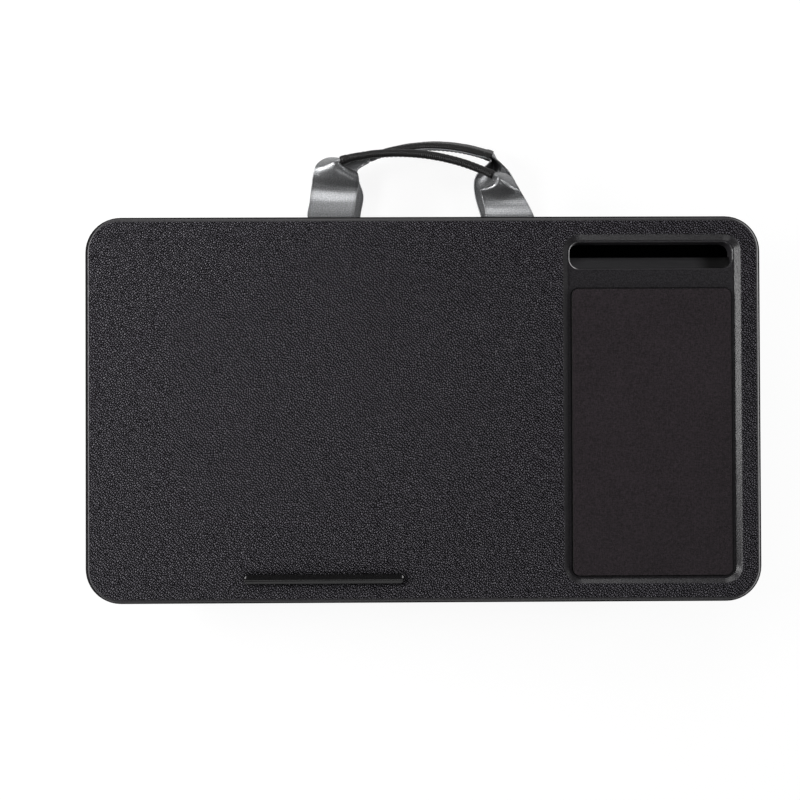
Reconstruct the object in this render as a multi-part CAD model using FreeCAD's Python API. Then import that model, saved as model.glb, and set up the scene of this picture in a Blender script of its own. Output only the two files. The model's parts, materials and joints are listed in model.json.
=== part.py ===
import FreeCAD
import Part
import math
import os

Vec = FreeCAD.Vector
UP = Vec(0, 0, 1)

# Lap desk lying on its cushion: X to the right, Y to the rear with the handles, Z up.
# The origin is under the middle of the board, on the face that rests on the lap.

overrun = 1.0
slip_gap = 0.2
fit_gap = 0.05

# Recess for the mouse pad and phone
recess_length = 140.2
recess_side_margin = 16.3
recess_end_margin = 15.0
recess_drop = 3.2
recess_bevel = 4.0
recess_corner_radius = 13.4
recess_floor_wall = 2.4

# Phone slot at the rear of the recess
slot_margin = 1.6
slot_width = 21.0
slot_corner_radius = 8.0
slot_pocket_width = 10.6
slot_depth = 11.4
slot_ramp_drop = 8.4
slot_wall = 2.4
slot_lip = 0.7

# Board
board_length = 533.4
board_depth = 304.8
board_corner_radius = 28.0
board_wall = 2.8
board_edge_round = 4.8
back_plate_thickness = 2.8
board_height = recess_drop + slot_depth + slot_wall + slip_gap + back_plate_thickness

# Ribs and screw posts under the board
post_columns = 4
post_rows = 3
post_margin = 26.7
post_rear_margin = 12.4
post_radius = 4.0
rib_thickness = 1.8
rib_height = 8.0
rib_bite = 0.4

# Plate screws
screw_radius = 1.5
screw_head_radius = 3.4
screw_head_height = 1.9
screw_length = 12.0
screw_recess_radius = 1.1
screw_recess_depth = 0.9

# Mouse pad
pad_side_gap = 3.25
pad_front_gap = 2.1
pad_shelf = 16.1
pad_corner_radius = 5.0
pad_tape_thickness = 0.2
pad_foam_thickness = 1.6
pad_cloth_thickness = 0.5

# Device ledge
ledge_length = 124.2
ledge_width = 6.8
ledge_height = 6.8
ledge_front_height = 3.6
ledge_foot_height = 1.0
ledge_crest_share = 0.45
ledge_end_radius = 2.6
ledge_round = 0.7
ledge_front_margin = 16.6
ledge_peg_radius = 2.4
ledge_peg_margin = 22.9
ledge_screw_radius = 1.1
ledge_screw_head_radius = 3.6
ledge_screw_head_height = 1.6
ledge_screw_bite = 3.2

# Cushion
cushion_height = 56.0
cushion_inset = 8.0
cushion_corner_radius = 40.0
cushion_draw_in = 3.0
cushion_seam_height = 9.0
cushion_seam_inset = 4.6
cushion_flat_inset = 21.0
cushion_bulge_inset = 1.2
cushion_bulge_share = 0.5
crown_height_shares = (0.0, 0.12, 0.45)
crown_inset_shares = (1.0, 0.58, 0.18)
cloth_thickness = 0.9
piping_radius = 2.0

# Foam tape between cushion and back plate
tape_thickness = 2.0
tape_count = 3
tape_width = 30.0
tape_end_margin = 57.0
tape_row_margin = 55.0

# Handles
webbing_width = 38.0
webbing_thickness = 1.6
handle_spacing = 145.2
fold_width = 4.0
fold_start_share = 0.42
fold_end_share = 0.86
leg_stations = 12
leg_root_share = 0.62
leg_turn_share = 0.26
hinge_gap = 0.3
sleeve_wall = 0.9
sleeve_corner_radius = 1.6
upper_tail_length = 40.0
lower_tail_depth = 12.0
upper_hinge_offset = 1.6
lower_hinge_offset = 1.2
upper_rise = 7.0
upper_bow = 3.0
lower_rise = -3.0
lower_bow = 0.0
upper_left_x = -68.0
upper_left_reach = 49.1
upper_crown_x = -16.9
upper_crown_reach = 56.1
upper_right_x = 55.3
upper_right_reach = 39.3
lower_left_x = -63.4
lower_left_reach = 66.5
lower_crown_x = 6.2
lower_crown_reach = 81.6
lower_right_x = 58.1
lower_right_reach = 71.2

# Staples that hold the upper webbing to the back plate
staple_crown = 10.0
staple_wire = 0.8
staple_leg = 3.4
staple_rows = 2
staple_pitch = 12.0
staple_edge = 8.0

# Derived levels and places
board_bottom = cushion_height + tape_thickness
board_top = board_bottom + board_height
underside = board_top - board_wall
plate_top = board_bottom + back_plate_thickness
recess_floor = board_top - recess_drop
recess_depth = board_depth - 2 * recess_end_margin
recess_x = board_length / 2 - recess_side_margin - recess_length / 2
floor_length = recess_length - 2 * recess_bevel
floor_depth = recess_depth - 2 * recess_bevel
floor_radius = recess_corner_radius - recess_bevel
slot_length = floor_length - 2 * slot_margin
slot_rear = floor_depth / 2 - slot_margin
slot_front = slot_rear - slot_width
slot_y = (slot_rear + slot_front) / 2
slot_floor = recess_floor - slot_depth
pad_length = floor_length - 2 * pad_side_gap
pad_rear = slot_front - pad_shelf
pad_front = pad_front_gap - floor_depth / 2
pad_depth = pad_rear - pad_front
pad_y = (pad_rear + pad_front) / 2
ledge_x = (recess_x - recess_length / 2 - board_length / 2) / 2
ledge_y = ledge_front_margin + ledge_width / 2 - board_depth / 2
cushion_length = board_length - 2 * cushion_inset
cushion_depth = board_depth - 2 * cushion_inset
arm_length = (webbing_width - fold_width) / 2
strap_half = webbing_thickness / 2
upper_root_y = board_depth / 2 + upper_hinge_offset
upper_root_z = cushion_height + tape_thickness / 2
piping_lift = piping_radius + webbing_thickness / 2 + slip_gap
lower_root_y = cushion_depth / 2 + lower_hinge_offset
lower_root_z = cushion_seam_height + piping_lift


def rounded_outline(length, depth, radius, level, x=0, y=0, draw_in=0):
    # Closed rounded rectangle whose sides may be drawn in smoothly between the corners.
    half_x = length / 2 - radius
    half_y = depth / 2 - radius
    extra = (2 * math.atan2(draw_in, half_x), 2 * math.atan2(draw_in, half_y))
    corners = ((1, 1), (-1, 1), (-1, -1), (1, -1))
    sides = ((0, 1), (-1, 0), (0, -1), (1, 0))
    arcs = []
    for index, (sign_x, sign_y) in enumerate(corners):
        centre = Vec(x + sign_x * half_x, y + sign_y * half_y, level)
        start = math.radians(90 * index) - extra[(index + 1) % 2]
        end = math.radians(90 * (index + 1)) + extra[index % 2]
        spokes = []
        for angle in (start, (start + end) / 2, end):
            spokes.append(centre + Vec(math.cos(angle), math.sin(angle), 0) * radius)
        arcs.append(spokes)
    edges = []
    for index, spokes in enumerate(arcs):
        start = spokes[2]
        end = arcs[(index + 1) % 4][0]
        out_x, out_y = sides[index]
        middle = Vec(x + out_x * (length / 2 - draw_in), y + out_y * (depth / 2 - draw_in), level)
        edges.append(Part.Arc(*spokes).toShape())
        if draw_in:
            edges.append(Part.Arc(start, middle, end).toShape())
        else:
            edges.append(Part.LineSegment(start, end).toShape())
    return Part.Wire(edges)


def rounded_block(length, depth, radius, bottom, height, x=0, y=0):
    outline = rounded_outline(length, depth, radius, bottom, x, y)
    return Part.Face(outline).extrude(UP * height)


def box_between(x_low, x_high, y_low, y_high, z_low, z_high):
    return Part.makeBox(x_high - x_low, y_high - y_low, z_high - z_low, Vec(x_low, y_low, z_low))


def rod(radius, x, y, bottom, height):
    return Part.makeCylinder(radius, height, Vec(x, y, bottom), UP)


def spread(count, reach):
    # Evenly spread places from -reach to +reach.
    if count < 2:
        return [0]
    return [reach * (2 * index / (count - 1) - 1) for index in range(count)]


def post_places():
    columns = spread(post_columns, board_length / 2 - post_margin)
    rows = spread(post_rows, board_depth / 2 - post_rear_margin)
    return [(x, y) for x in columns for y in rows]


def ledge_pegs():
    return [ledge_x + x for x in spread(2, ledge_length / 2 - ledge_peg_margin)]


def slot_cut():
    # Deep pocket at the rear with a sloping front face, and a small lead-in round the lip.
    hole = rounded_block(
        slot_length, slot_width, slot_corner_radius, slot_floor, slot_depth + overrun, recess_x, slot_y
    )
    pocket_front = slot_rear - slot_pocket_width
    ramp_left = recess_x - slot_length / 2 - overrun
    corners = [
        Vec(ramp_left, slot_front - overrun, recess_floor),
        Vec(ramp_left, slot_front, recess_floor),
        Vec(ramp_left, pocket_front, recess_floor - slot_ramp_drop),
        Vec(ramp_left, pocket_front, slot_floor - overrun),
        Vec(ramp_left, slot_front - overrun, slot_floor - overrun),
    ]
    ramp = Part.Face(Part.makePolygon(corners + corners[:1])).extrude(Vec(slot_length + 2 * overrun, 0, 0))
    wide = rounded_outline(
        slot_length + 2 * slot_lip,
        slot_width + 2 * slot_lip,
        slot_corner_radius + slot_lip,
        recess_floor,
        recess_x,
        slot_y,
    )
    narrow = rounded_outline(
        slot_length, slot_width, slot_corner_radius, recess_floor - slot_lip, recess_x, slot_y
    )
    return hole.cut(ramp).fuse(Part.makeLoft([narrow, wide], True, True))


def recess_cut():
    floor = rounded_outline(floor_length, floor_depth, floor_radius, recess_floor, recess_x)
    brim = rounded_outline(recess_length, recess_depth, recess_corner_radius, board_top, recess_x)
    basin = Part.makeLoft([floor, brim], True, True)
    above = rounded_block(
        recess_length, recess_depth, recess_corner_radius, board_top, overrun, recess_x
    )
    return basin.fuse(above)


def ramp_hollow():
    # Room under the ramp, so that the moulding keeps an even wall there.
    pocket_front = slot_rear - slot_pocket_width
    slope = slot_ramp_drop / (pocket_front - slot_front)
    drop = slot_wall * math.hypot(1, slope)
    left = recess_x - slot_length / 2 - slot_wall - overrun
    front = slot_front - slot_wall - overrun
    rear = pocket_front - slot_wall
    low = slot_floor - slot_wall - overrun
    corners = [
        Vec(left, front, low),
        Vec(left, rear, low),
        Vec(left, rear, recess_floor - drop - slope * (rear - slot_front)),
        Vec(left, slot_front, recess_floor - drop),
        Vec(left, front, recess_floor - drop),
    ]
    length = slot_length + 2 * (slot_wall + overrun)
    return Part.Face(Part.makePolygon(corners + corners[:1])).extrude(Vec(length, 0, 0))


def rib_grid():
    ribs = []
    gap = board_wall - rib_bite
    room = rounded_block(
        board_length - 2 * gap,
        board_depth - 2 * gap,
        board_corner_radius - gap,
        board_bottom,
        board_height,
    )
    bottom = underside - rib_height
    top = underside + rib_bite
    reach_x = board_length / 2
    reach_y = board_depth / 2
    half = rib_thickness / 2
    for x in sorted({place[0] for place in post_places()}):
        ribs.append(box_between(x - half, x + half, -reach_y, reach_y, bottom, top))
    for y in sorted({place[1] for place in post_places()}):
        ribs.append(box_between(-reach_x, reach_x, y - half, y + half, bottom, top))
    return [rib.common(room) for rib in ribs]


def make_top_panel():
    outer = rounded_block(board_length, board_depth, board_corner_radius, board_bottom, board_height)
    crest = [edge for edge in outer.Edges if edge.BoundBox.ZMin > board_top - slip_gap]
    outer = outer.makeFillet(board_edge_round, crest)
    cavity = rounded_block(
        board_length - 2 * board_wall,
        board_depth - 2 * board_wall,
        board_corner_radius - board_wall,
        board_bottom - overrun,
        board_height - board_wall + overrun,
    )
    added = rib_grid()
    added += [rod(post_radius, x, y, plate_top, underside - plate_top + overrun) for x, y in post_places()]
    added.append(
        rounded_block(
            recess_length,
            recess_depth,
            recess_corner_radius,
            recess_floor - recess_floor_wall,
            underside - recess_floor + recess_floor_wall + overrun,
            recess_x,
        )
    )
    pocket = rounded_block(
        slot_length + 2 * slot_wall,
        slot_width + 2 * slot_wall,
        slot_corner_radius + slot_wall,
        slot_floor - slot_wall,
        slot_depth,
        recess_x,
        slot_y,
    )
    added.append(pocket.cut(ramp_hollow()))
    removed = [recess_cut(), slot_cut()]
    bite = screw_length - back_plate_thickness + fit_gap
    removed += [rod(screw_radius + fit_gap, x, y, plate_top, bite) for x, y in post_places()]
    removed += [
        rod(ledge_peg_radius + fit_gap, x, ledge_y, underside - overrun, board_wall + 2 * overrun)
        for x in ledge_pegs()
    ]
    return outer.cut(cavity).fuse(added).cut(removed).removeSplitter()


def screw_shape(x, y, clearance=0):
    head = Part.makeCone(
        screw_head_radius + clearance,
        screw_radius + clearance,
        screw_head_height,
        Vec(x, y, board_bottom),
        UP,
    )
    return head.fuse(rod(screw_radius + clearance, x, y, board_bottom, screw_length))


def make_plate_screws():
    screws = []
    for x, y in post_places():
        drive = rod(screw_recess_radius, x, y, board_bottom - overrun, screw_recess_depth + overrun)
        screws.append(screw_shape(x, y).cut(drive))
    return Part.makeCompound(screws)


def staple_places():
    places = []
    for sign in (-1, 1):
        for row in range(staple_rows):
            y = upper_root_y - upper_tail_length + staple_edge + row * staple_pitch
            places.append((sign * handle_spacing / 2, y))
    return places


def staple_shape(x, y):
    half = staple_crown / 2
    wire = staple_wire / 2
    low = upper_root_z - strap_half
    crown = box_between(x - half, x + half, y - wire, y + wire, low, low + staple_wire)
    legs = []
    for sign in (-1, 1):
        middle = x + sign * (half - wire)
        legs.append(box_between(middle - wire, middle + wire, y - wire, y + wire, low, low + staple_leg))
    return crown.fuse(legs).removeSplitter()


def make_staples():
    return Part.makeCompound([staple_shape(x, y) for x, y in staple_places()])


def make_back_plate():
    gap = board_wall + slip_gap
    plate = rounded_block(
        board_length - 2 * gap,
        board_depth - 2 * gap,
        board_corner_radius - gap,
        board_bottom,
        back_plate_thickness,
    )
    removed = [screw_shape(x, y, fit_gap) for x, y in post_places()]
    removed += [staple_shape(x, y) for x, y in staple_places()]
    return plate.cut(removed)


def pad_layer(bottom, height):
    return rounded_block(pad_length, pad_depth, pad_corner_radius, bottom, height, recess_x, pad_y)


def make_pad_tape():
    return pad_layer(recess_floor, pad_tape_thickness)


def make_pad_foam():
    return pad_layer(recess_floor + pad_tape_thickness, pad_foam_thickness)


def make_pad_cloth():
    return pad_layer(recess_floor + pad_tape_thickness + pad_foam_thickness, pad_cloth_thickness)


def make_ledge():
    # Ridge with a steep face to the device, a flatter face to the user and soft edges, on two pegs.
    left = ledge_x - ledge_length / 2
    rear = ledge_y + ledge_width / 2
    front = ledge_y - ledge_width / 2
    crest = front + ledge_width * ledge_crest_share
    corners = [
        Vec(left, front, board_top),
        Vec(left, rear, board_top),
        Vec(left, rear, board_top + ledge_foot_height),
        Vec(left, crest, board_top + ledge_height),
        Vec(left, front, board_top + ledge_front_height),
    ]
    ridge = Part.Face(Part.makePolygon(corners + corners[:1])).extrude(Vec(ledge_length, 0, 0))
    plan = rounded_block(
        ledge_length, ledge_width, ledge_end_radius, board_top, ledge_height + overrun, ledge_x, ledge_y
    )
    ridge = ridge.common(plan)
    soft = [edge for edge in ridge.Edges if edge.BoundBox.ZMin > board_top + ledge_foot_height - slip_gap]
    ridge = ridge.makeFillet(ledge_round, soft)
    pegs = [
        rod(ledge_peg_radius, x, ledge_y, underside + fit_gap, board_wall - fit_gap) for x in ledge_pegs()
    ]
    bite = board_wall + ledge_screw_bite
    holes = [rod(ledge_screw_radius + fit_gap, x, ledge_y, underside, bite) for x in ledge_pegs()]
    return ridge.fuse(pegs).cut(holes).removeSplitter()


def make_ledge_screws():
    screws = []
    for x in ledge_pegs():
        shank = rod(ledge_screw_radius, x, ledge_y, underside, board_wall + ledge_screw_bite - fit_gap)
        low = underside - ledge_screw_head_height
        head = rod(ledge_screw_head_radius, x, ledge_y, low, ledge_screw_head_height)
        drive = rod(screw_recess_radius, x, ledge_y, low - overrun, screw_recess_depth + overrun)
        screws.append(head.fuse(shank).cut(drive).removeSplitter())
    return Part.makeCompound(screws)


def cushion_levels():
    # Heights and insets of the cushion's rings, from the face on the lap up to the back plate.
    crown = []
    for height_share, inset_share in zip(crown_height_shares, crown_inset_shares):
        inset = cushion_seam_inset + inset_share * (cushion_flat_inset - cushion_seam_inset)
        crown.append((height_share * cushion_seam_height, inset))
    rise = (cushion_height / 2 - cushion_seam_height) * cushion_bulge_share
    lower = crown + [
        (cushion_seam_height, cushion_seam_inset),
        (cushion_seam_height + rise, cushion_bulge_inset),
    ]
    upper = [(cushion_height - height, inset) for height, inset in reversed(lower)]
    return lower + [(cushion_height / 2, 0)] + upper


def cushion_form(skin=0):
    # Boxed cushion, or the room inside its cloth where skin is the cloth's thickness.
    rings = []
    squeeze = 1 - 2 * skin / cushion_height
    for height, inset in cushion_levels():
        level = cushion_height / 2 + (height - cushion_height / 2) * squeeze
        margin = inset + skin
        rings.append(
            rounded_outline(
                cushion_length - 2 * margin,
                cushion_depth - 2 * margin,
                cushion_corner_radius - margin,
                level,
                draw_in=cushion_draw_in,
            )
        )
    return Part.makeLoft(rings, True, True)


def cloth_band(low, high):
    band = box_between(-board_length, board_length, -board_depth, board_depth, low, high)
    shell = cushion_form().cut(cushion_form(cloth_thickness))
    return shell.common(band).cut(tail_boxes("lower", slip_gap))


def make_bottom_cloth():
    return cloth_band(-overrun, cushion_seam_height)


def make_side_cloth():
    return cloth_band(cushion_seam_height, cushion_height - cushion_seam_height)


def make_top_cloth():
    return cloth_band(cushion_height - cushion_seam_height, cushion_height + overrun)


def make_filling():
    return cushion_form(cloth_thickness).cut(tail_boxes("lower", slip_gap))


def piping_ring(level):
    slope = math.atan2(
        cushion_seam_inset - cushion_bulge_inset,
        (cushion_height / 2 - cushion_seam_height) * cushion_bulge_share,
    )
    margin = cushion_seam_inset - (piping_radius + fit_gap) / math.cos(slope)
    path = rounded_outline(
        cushion_length - 2 * margin,
        cushion_depth - 2 * margin,
        cushion_corner_radius - margin,
        level,
        draw_in=cushion_draw_in,
    )
    pieces = []
    for edge in path.Edges:
        start = edge.valueAt(edge.FirstParameter)
        circle = Part.Circle(start, edge.tangentAt(edge.FirstParameter), piping_radius)
        section = Part.Face(Part.Wire(circle.toShape()))
        sweep = math.degrees(edge.LastParameter - edge.FirstParameter)
        pieces.append(section.revolve(edge.Curve.Center, edge.Curve.Axis, sweep))
    return pieces[0].fuse(pieces[1:]).removeSplitter()


def make_lower_piping():
    return piping_ring(cushion_seam_height)


def make_upper_piping():
    return piping_ring(cushion_height - cushion_seam_height)


def make_foam_tape():
    strips = []
    half_length = cushion_length / 2 - tape_end_margin
    half = tape_width / 2
    for y in spread(tape_count, cushion_depth / 2 - tape_row_margin):
        strips.append(
            box_between(-half_length, half_length, y - half, y + half, cushion_height, board_bottom)
        )
    return Part.makeCompound(strips)


def handle_root(which):
    if which == "upper":
        return upper_root_y, upper_root_z
    return lower_root_y, lower_root_z


def tail_boxes(which, clearance=0):
    # Flat ends of the webbing that are fastened to the desk.
    root_y, root_z = handle_root(which)
    end = root_y - strap_half - hinge_gap
    start = root_y - upper_tail_length
    if which == "lower":
        start = cushion_depth / 2 - cushion_seam_inset - lower_tail_depth
    boxes = []
    half = webbing_width / 2 + clearance
    tall = strap_half + clearance
    for sign in (-1, 1):
        x = sign * handle_spacing / 2
        boxes.append(box_between(x - half, x + half, start - clearance, end, root_z - tall, root_z + tall))
    return boxes


def make_upper_tails():
    staples = [staple_shape(x, y) for x, y in staple_places()]
    return Part.makeCompound([box.cut(staples) for box in tail_boxes("upper")])


def make_lower_tails():
    return Part.makeCompound(tail_boxes("lower"))


def grip_places(which):
    root_y, root_z = handle_root(which)
    if which == "upper":
        level = root_z + upper_rise
        spots = (
            (upper_left_x, upper_left_reach),
            (upper_crown_x, upper_crown_reach),
            (upper_right_x, upper_right_reach),
        )
    else:
        level = root_z + lower_rise
        spots = (
            (lower_left_x, lower_left_reach),
            (lower_crown_x, lower_crown_reach),
            (lower_right_x, lower_right_reach),
        )
    return [Vec(x, root_y + reach, level) for x, reach in spots]


def grip_arc(which):
    # Centre of the grip's curve, its sweep in degrees and the headings at both ends.
    left, crown, right = grip_places(which)
    circle = Part.Arc(left, crown, right).toShape().Curve
    centre = circle.Center
    from_angle = math.atan2(left.y - centre.y, left.x - centre.x)
    to_angle = math.atan2(right.y - centre.y, right.x - centre.x)
    quarter = math.pi / 2
    return centre, math.degrees(from_angle - to_angle), from_angle - quarter, to_angle - quarter


def strap_section(place, heading, bend, facing):
    # Webbing cut square to its run: flat where bend is 0, folded in half where it is a right angle.
    across = Vec(math.sin(heading), -math.cos(heading), 0)
    face = UP * facing
    outer = []
    inner = []
    for sign in (1, -1):
        side = across * sign
        corner = place + side * (fold_width / 2) + face * strap_half
        arm = side * math.cos(bend) - face * math.sin(bend)
        normal = face * math.cos(bend) + side * math.sin(bend)
        tip = corner + arm * arm_length
        under = corner - (side * math.tan(bend / 2) + face) * webbing_thickness
        outer.append((tip, corner))
        inner.append((tip - normal * webbing_thickness, under))
    points = [outer[0][0], outer[0][1], outer[1][1], outer[1][0]]
    points += [inner[1][0], inner[1][1], inner[0][1], inner[0][0]]
    return Part.makePolygon(points + points[:1])


def ease(value):
    value = min(max(value, 0), 1)
    return value * value * (3 - 2 * value)


def leg_loft(which, side, grip_end, into_grip, facing, bow):
    # Leg from its hinge line, turning and folding until it enters the grip.
    root_y, root_z = handle_root(which)
    root = Vec(side * handle_spacing / 2, root_y, root_z)
    grip = Vec(math.cos(into_grip), math.sin(into_grip), 0)
    reach = grip_end.y - root_y
    steer = (
        root,
        root + Vec(0, reach * leg_root_share, 0),
        grip_end - grip * (reach * leg_turn_share),
        grip_end,
    )
    sections = []
    for station in range(leg_stations + 1):
        t = station / leg_stations
        s = 1 - t
        place = steer[0] * s**3 + steer[1] * (3 * s * s * t) + steer[2] * (3 * s * t * t) + steer[3] * t**3
        run = (steer[1] - steer[0]) * (s * s) + (steer[2] - steer[1]) * (2 * s * t)
        run = run + (steer[3] - steer[2]) * (t * t)
        place.z = root_z + (grip_end.z - root_z) * ease(t) + bow * math.sin(math.pi * t)
        bend = math.pi / 2 * ease((t - fold_start_share) / (fold_end_share - fold_start_share))
        sections.append(strap_section(place, math.atan2(run.y, run.x), bend, facing))
    axis = Vec(root.x - webbing_width / 2, root_y, root_z)
    knuckle = Part.makeCylinder(strap_half, webbing_width, axis, Vec(1, 0, 0))
    return [Part.makeLoft(sections, True, True), knuckle]


def make_webbing(which, facing, bow):
    left, _, right = grip_places(which)
    centre, sweep, left_heading, right_heading = grip_arc(which)
    core = Part.Face(strap_section(left, left_heading, math.pi / 2, facing))
    core = core.revolve(centre, Vec(0, 0, -1), sweep)
    pieces = leg_loft(which, -1, left, left_heading, facing, bow)
    pieces += leg_loft(which, 1, right, right_heading + math.pi, facing, bow)
    return core.fuse(pieces)


def sleeve_solid(which, facing, margin):
    left = grip_places(which)[0]
    centre, sweep, left_heading, _ = grip_arc(which)
    wide = fold_width + 2 * (slip_gap + sleeve_wall - margin)
    tall = arm_length + 2 * (slip_gap + sleeve_wall - margin)
    middle = facing * (strap_half - arm_length / 2)
    outline = rounded_outline(wide, tall, sleeve_corner_radius - margin, 0, 0, middle)
    upright = FreeCAD.Rotation(Vec(1, 0, 0), 90)
    turned = FreeCAD.Rotation(UP, math.degrees(left_heading) - 90)
    outline.Placement = FreeCAD.Placement(left, turned.multiply(upright))
    return Part.Face(outline).revolve(centre, Vec(0, 0, -1), sweep)


def make_sleeve(which, facing):
    return sleeve_solid(which, facing, 0).cut(sleeve_solid(which, facing, sleeve_wall))


def export(name, shape):
    shape.exportStep(os.path.join("parts", name + ".step"))


os.makedirs("parts", exist_ok=True)
export("top_panel", make_top_panel())
export("back_plate", make_back_plate())
export("plate_screws", make_plate_screws())
export("mouse_pad_tape", make_pad_tape())
export("mouse_pad_foam", make_pad_foam())
export("mouse_pad_cloth", make_pad_cloth())
export("device_ledge", make_ledge())
export("ledge_screws", make_ledge_screws())
export("cushion_tape", make_foam_tape())
export("cushion_top_cloth", make_top_cloth())
export("cushion_side_cloth", make_side_cloth())
export("cushion_bottom_cloth", make_bottom_cloth())
export("cushion_upper_piping", make_upper_piping())
export("cushion_lower_piping", make_lower_piping())
export("cushion_filling", make_filling())
export("upper_handle_tails", make_upper_tails())
export("upper_tail_staples", make_staples())
export("upper_handle_webbing", make_webbing("upper", 1, upper_bow))
export("upper_grip_sleeve", make_sleeve("upper", 1))
export("lower_handle_tails", make_lower_tails())
export("lower_handle_webbing", make_webbing("lower", -1, lower_bow))
export("lower_grip_sleeve", make_sleeve("lower", -1))
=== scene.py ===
import json
import math

import bmesh
import bpy
import numpy as np
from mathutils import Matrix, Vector, noise
from mathutils.bvhtree import BVHTree
from mathutils.kdtree import KDTree

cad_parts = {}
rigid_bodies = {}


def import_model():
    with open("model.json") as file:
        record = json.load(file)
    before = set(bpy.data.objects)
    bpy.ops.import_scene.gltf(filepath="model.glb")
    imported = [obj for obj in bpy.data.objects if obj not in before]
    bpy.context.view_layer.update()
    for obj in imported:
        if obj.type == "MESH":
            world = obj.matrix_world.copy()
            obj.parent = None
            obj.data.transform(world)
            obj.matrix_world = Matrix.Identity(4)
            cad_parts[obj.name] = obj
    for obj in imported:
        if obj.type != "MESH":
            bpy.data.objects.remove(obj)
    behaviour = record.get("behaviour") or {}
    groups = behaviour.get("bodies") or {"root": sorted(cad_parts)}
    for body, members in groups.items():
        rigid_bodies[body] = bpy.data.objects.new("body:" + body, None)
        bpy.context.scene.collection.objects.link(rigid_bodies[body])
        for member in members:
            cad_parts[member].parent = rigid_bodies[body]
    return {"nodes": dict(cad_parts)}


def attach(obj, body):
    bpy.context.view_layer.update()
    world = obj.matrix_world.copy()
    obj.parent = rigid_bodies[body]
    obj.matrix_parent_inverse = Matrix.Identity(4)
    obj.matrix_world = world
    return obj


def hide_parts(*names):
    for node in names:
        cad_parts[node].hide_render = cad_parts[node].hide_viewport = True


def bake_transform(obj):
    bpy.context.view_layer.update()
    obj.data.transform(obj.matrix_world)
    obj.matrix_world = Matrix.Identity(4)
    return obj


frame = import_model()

scene = bpy.context.scene
for stray in [o for o in bpy.data.objects if o.name in ("Cube", "Light", "Camera")]:
    bpy.data.objects.remove(stray)
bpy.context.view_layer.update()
nodes = frame["nodes"]
mm = 0.001
tiny = 1e-9  # keeps divisions safe


# Shader helpers

def newMaterial(name):
    material = bpy.data.materials.new(name)
    material.use_nodes = True
    tree = material.node_tree
    tree.nodes.clear()
    output = tree.nodes.new("ShaderNodeOutputMaterial")
    shader = tree.nodes.new("ShaderNodeBsdfPrincipled")
    tree.links.new(shader.outputs[0], output.inputs[0])
    return material, tree, shader


def feed(tree, socket, value):
    if isinstance(value, bpy.types.NodeSocket):
        tree.links.new(value, socket)
    else:
        socket.default_value = value


def add(tree, kind, inputs=None, output=0, **settings):
    made = tree.nodes.new(kind)  # inputs by name or index, as values or sockets
    for key, value in settings.items():
        setattr(made, key, value)
    for key, value in (inputs or {}).items():
        if value is not None:
            feed(tree, made.inputs[key], value)
    return made.outputs[output]


def maths(tree, operation, a, b=None, c=None, clamp=False):
    return add(tree, "ShaderNodeMath", {0: a, 1: b, 2: c}, operation=operation, use_clamp=clamp)


def times(tree, first, *others):
    for other in others:
        first = maths(tree, "MULTIPLY", first, other)
    return first


def most(tree, first, *others):
    for other in others:
        first = maths(tree, "MAXIMUM", first, other)
    return first


def scaled(tree, value, gain, base, clamp=False):
    return maths(tree, "MULTIPLY_ADD", value, gain, base, clamp)


def vectorMaths(tree, operation, a, b=None, scale=None, output="Vector"):
    return add(
        tree, "ShaderNodeVectorMath", {0: a, 1: b, "Scale": scale}, output, operation=operation
    )


def axesOf(tree, where, letters="xyz"):
    split = add(tree, "ShaderNodeSeparateXYZ", {0: where}).node
    return [split.outputs[letter.upper()] for letter in letters]


def smooth(tree, value, low, high, toLow=0.0, toHigh=1.0):
    inputs = {"Value": value, "From Min": low, "From Max": high, "To Min": toLow, "To Max": toHigh}
    return add(tree, "ShaderNodeMapRange", inputs, interpolation_type="SMOOTHSTEP")


def mixColour(tree, factor, a, b):
    return add(tree, "ShaderNodeMix", {0: factor, 6: a, 7: b}, 2, data_type="RGBA")


def noiseOf(tree, where, scale, detail=2.0, rough=0.5):
    inputs = {"Vector": where, "Scale": scale, "Detail": detail, "Roughness": rough}
    return add(tree, "ShaderNodeTexNoise", inputs)


def stretched(tree, where, scale, turn=0.0, kind="POINT"):
    inputs = {"Vector": where, "Scale": scale, "Rotation": (0, 0, turn)}
    return add(tree, "ShaderNodeMapping", inputs, vector_type=kind)


def wander(tree, where, scale, amount):
    shift = add(tree, "ShaderNodeTexNoise", {"Vector": where, "Scale": scale, "Detail": 1.0}, 1)
    shift = vectorMaths(tree, "SUBTRACT", shift, (0.5, 0.5, 0.5))
    return vectorMaths(tree, "ADD", where, vectorMaths(tree, "SCALE", shift, scale=amount))


def bump(tree, shader, height, distance, strength=1.0):
    made = add(tree, "ShaderNodeBump", {"Height": height, "Distance": distance, "Strength": strength})
    tree.links.new(made, shader.inputs["Normal"])


def objectPlace(tree):
    return add(tree, "ShaderNodeTexCoord", output="Object")


def ownUv(tree):
    return add(tree, "ShaderNodeUVMap", uv_map="cut")


def weave(tree, where, pitchU, pitchV):
    # Plain weave: warp and weft pass over each other by turns. Returns the height and which one is up.
    x, y = axesOf(tree, where, "xy")
    u, v = times(tree, x, math.pi / pitchU), times(tree, y, math.pi / pitchV)
    warp = maths(tree, "ABSOLUTE", maths(tree, "SINE", u))
    weft = maths(tree, "ABSOLUTE", maths(tree, "SINE", v))
    over = times(tree, maths(tree, "COSINE", u), maths(tree, "COSINE", v))
    lift = scaled(tree, over, 0.5, 0.5)
    low = times(tree, weft, maths(tree, "SUBTRACT", 1.0, lift))
    return most(tree, times(tree, warp, lift), low), lift


# Board: pebble grain on the flat face, smooth satin at the rim, the bevels and the recess

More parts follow.
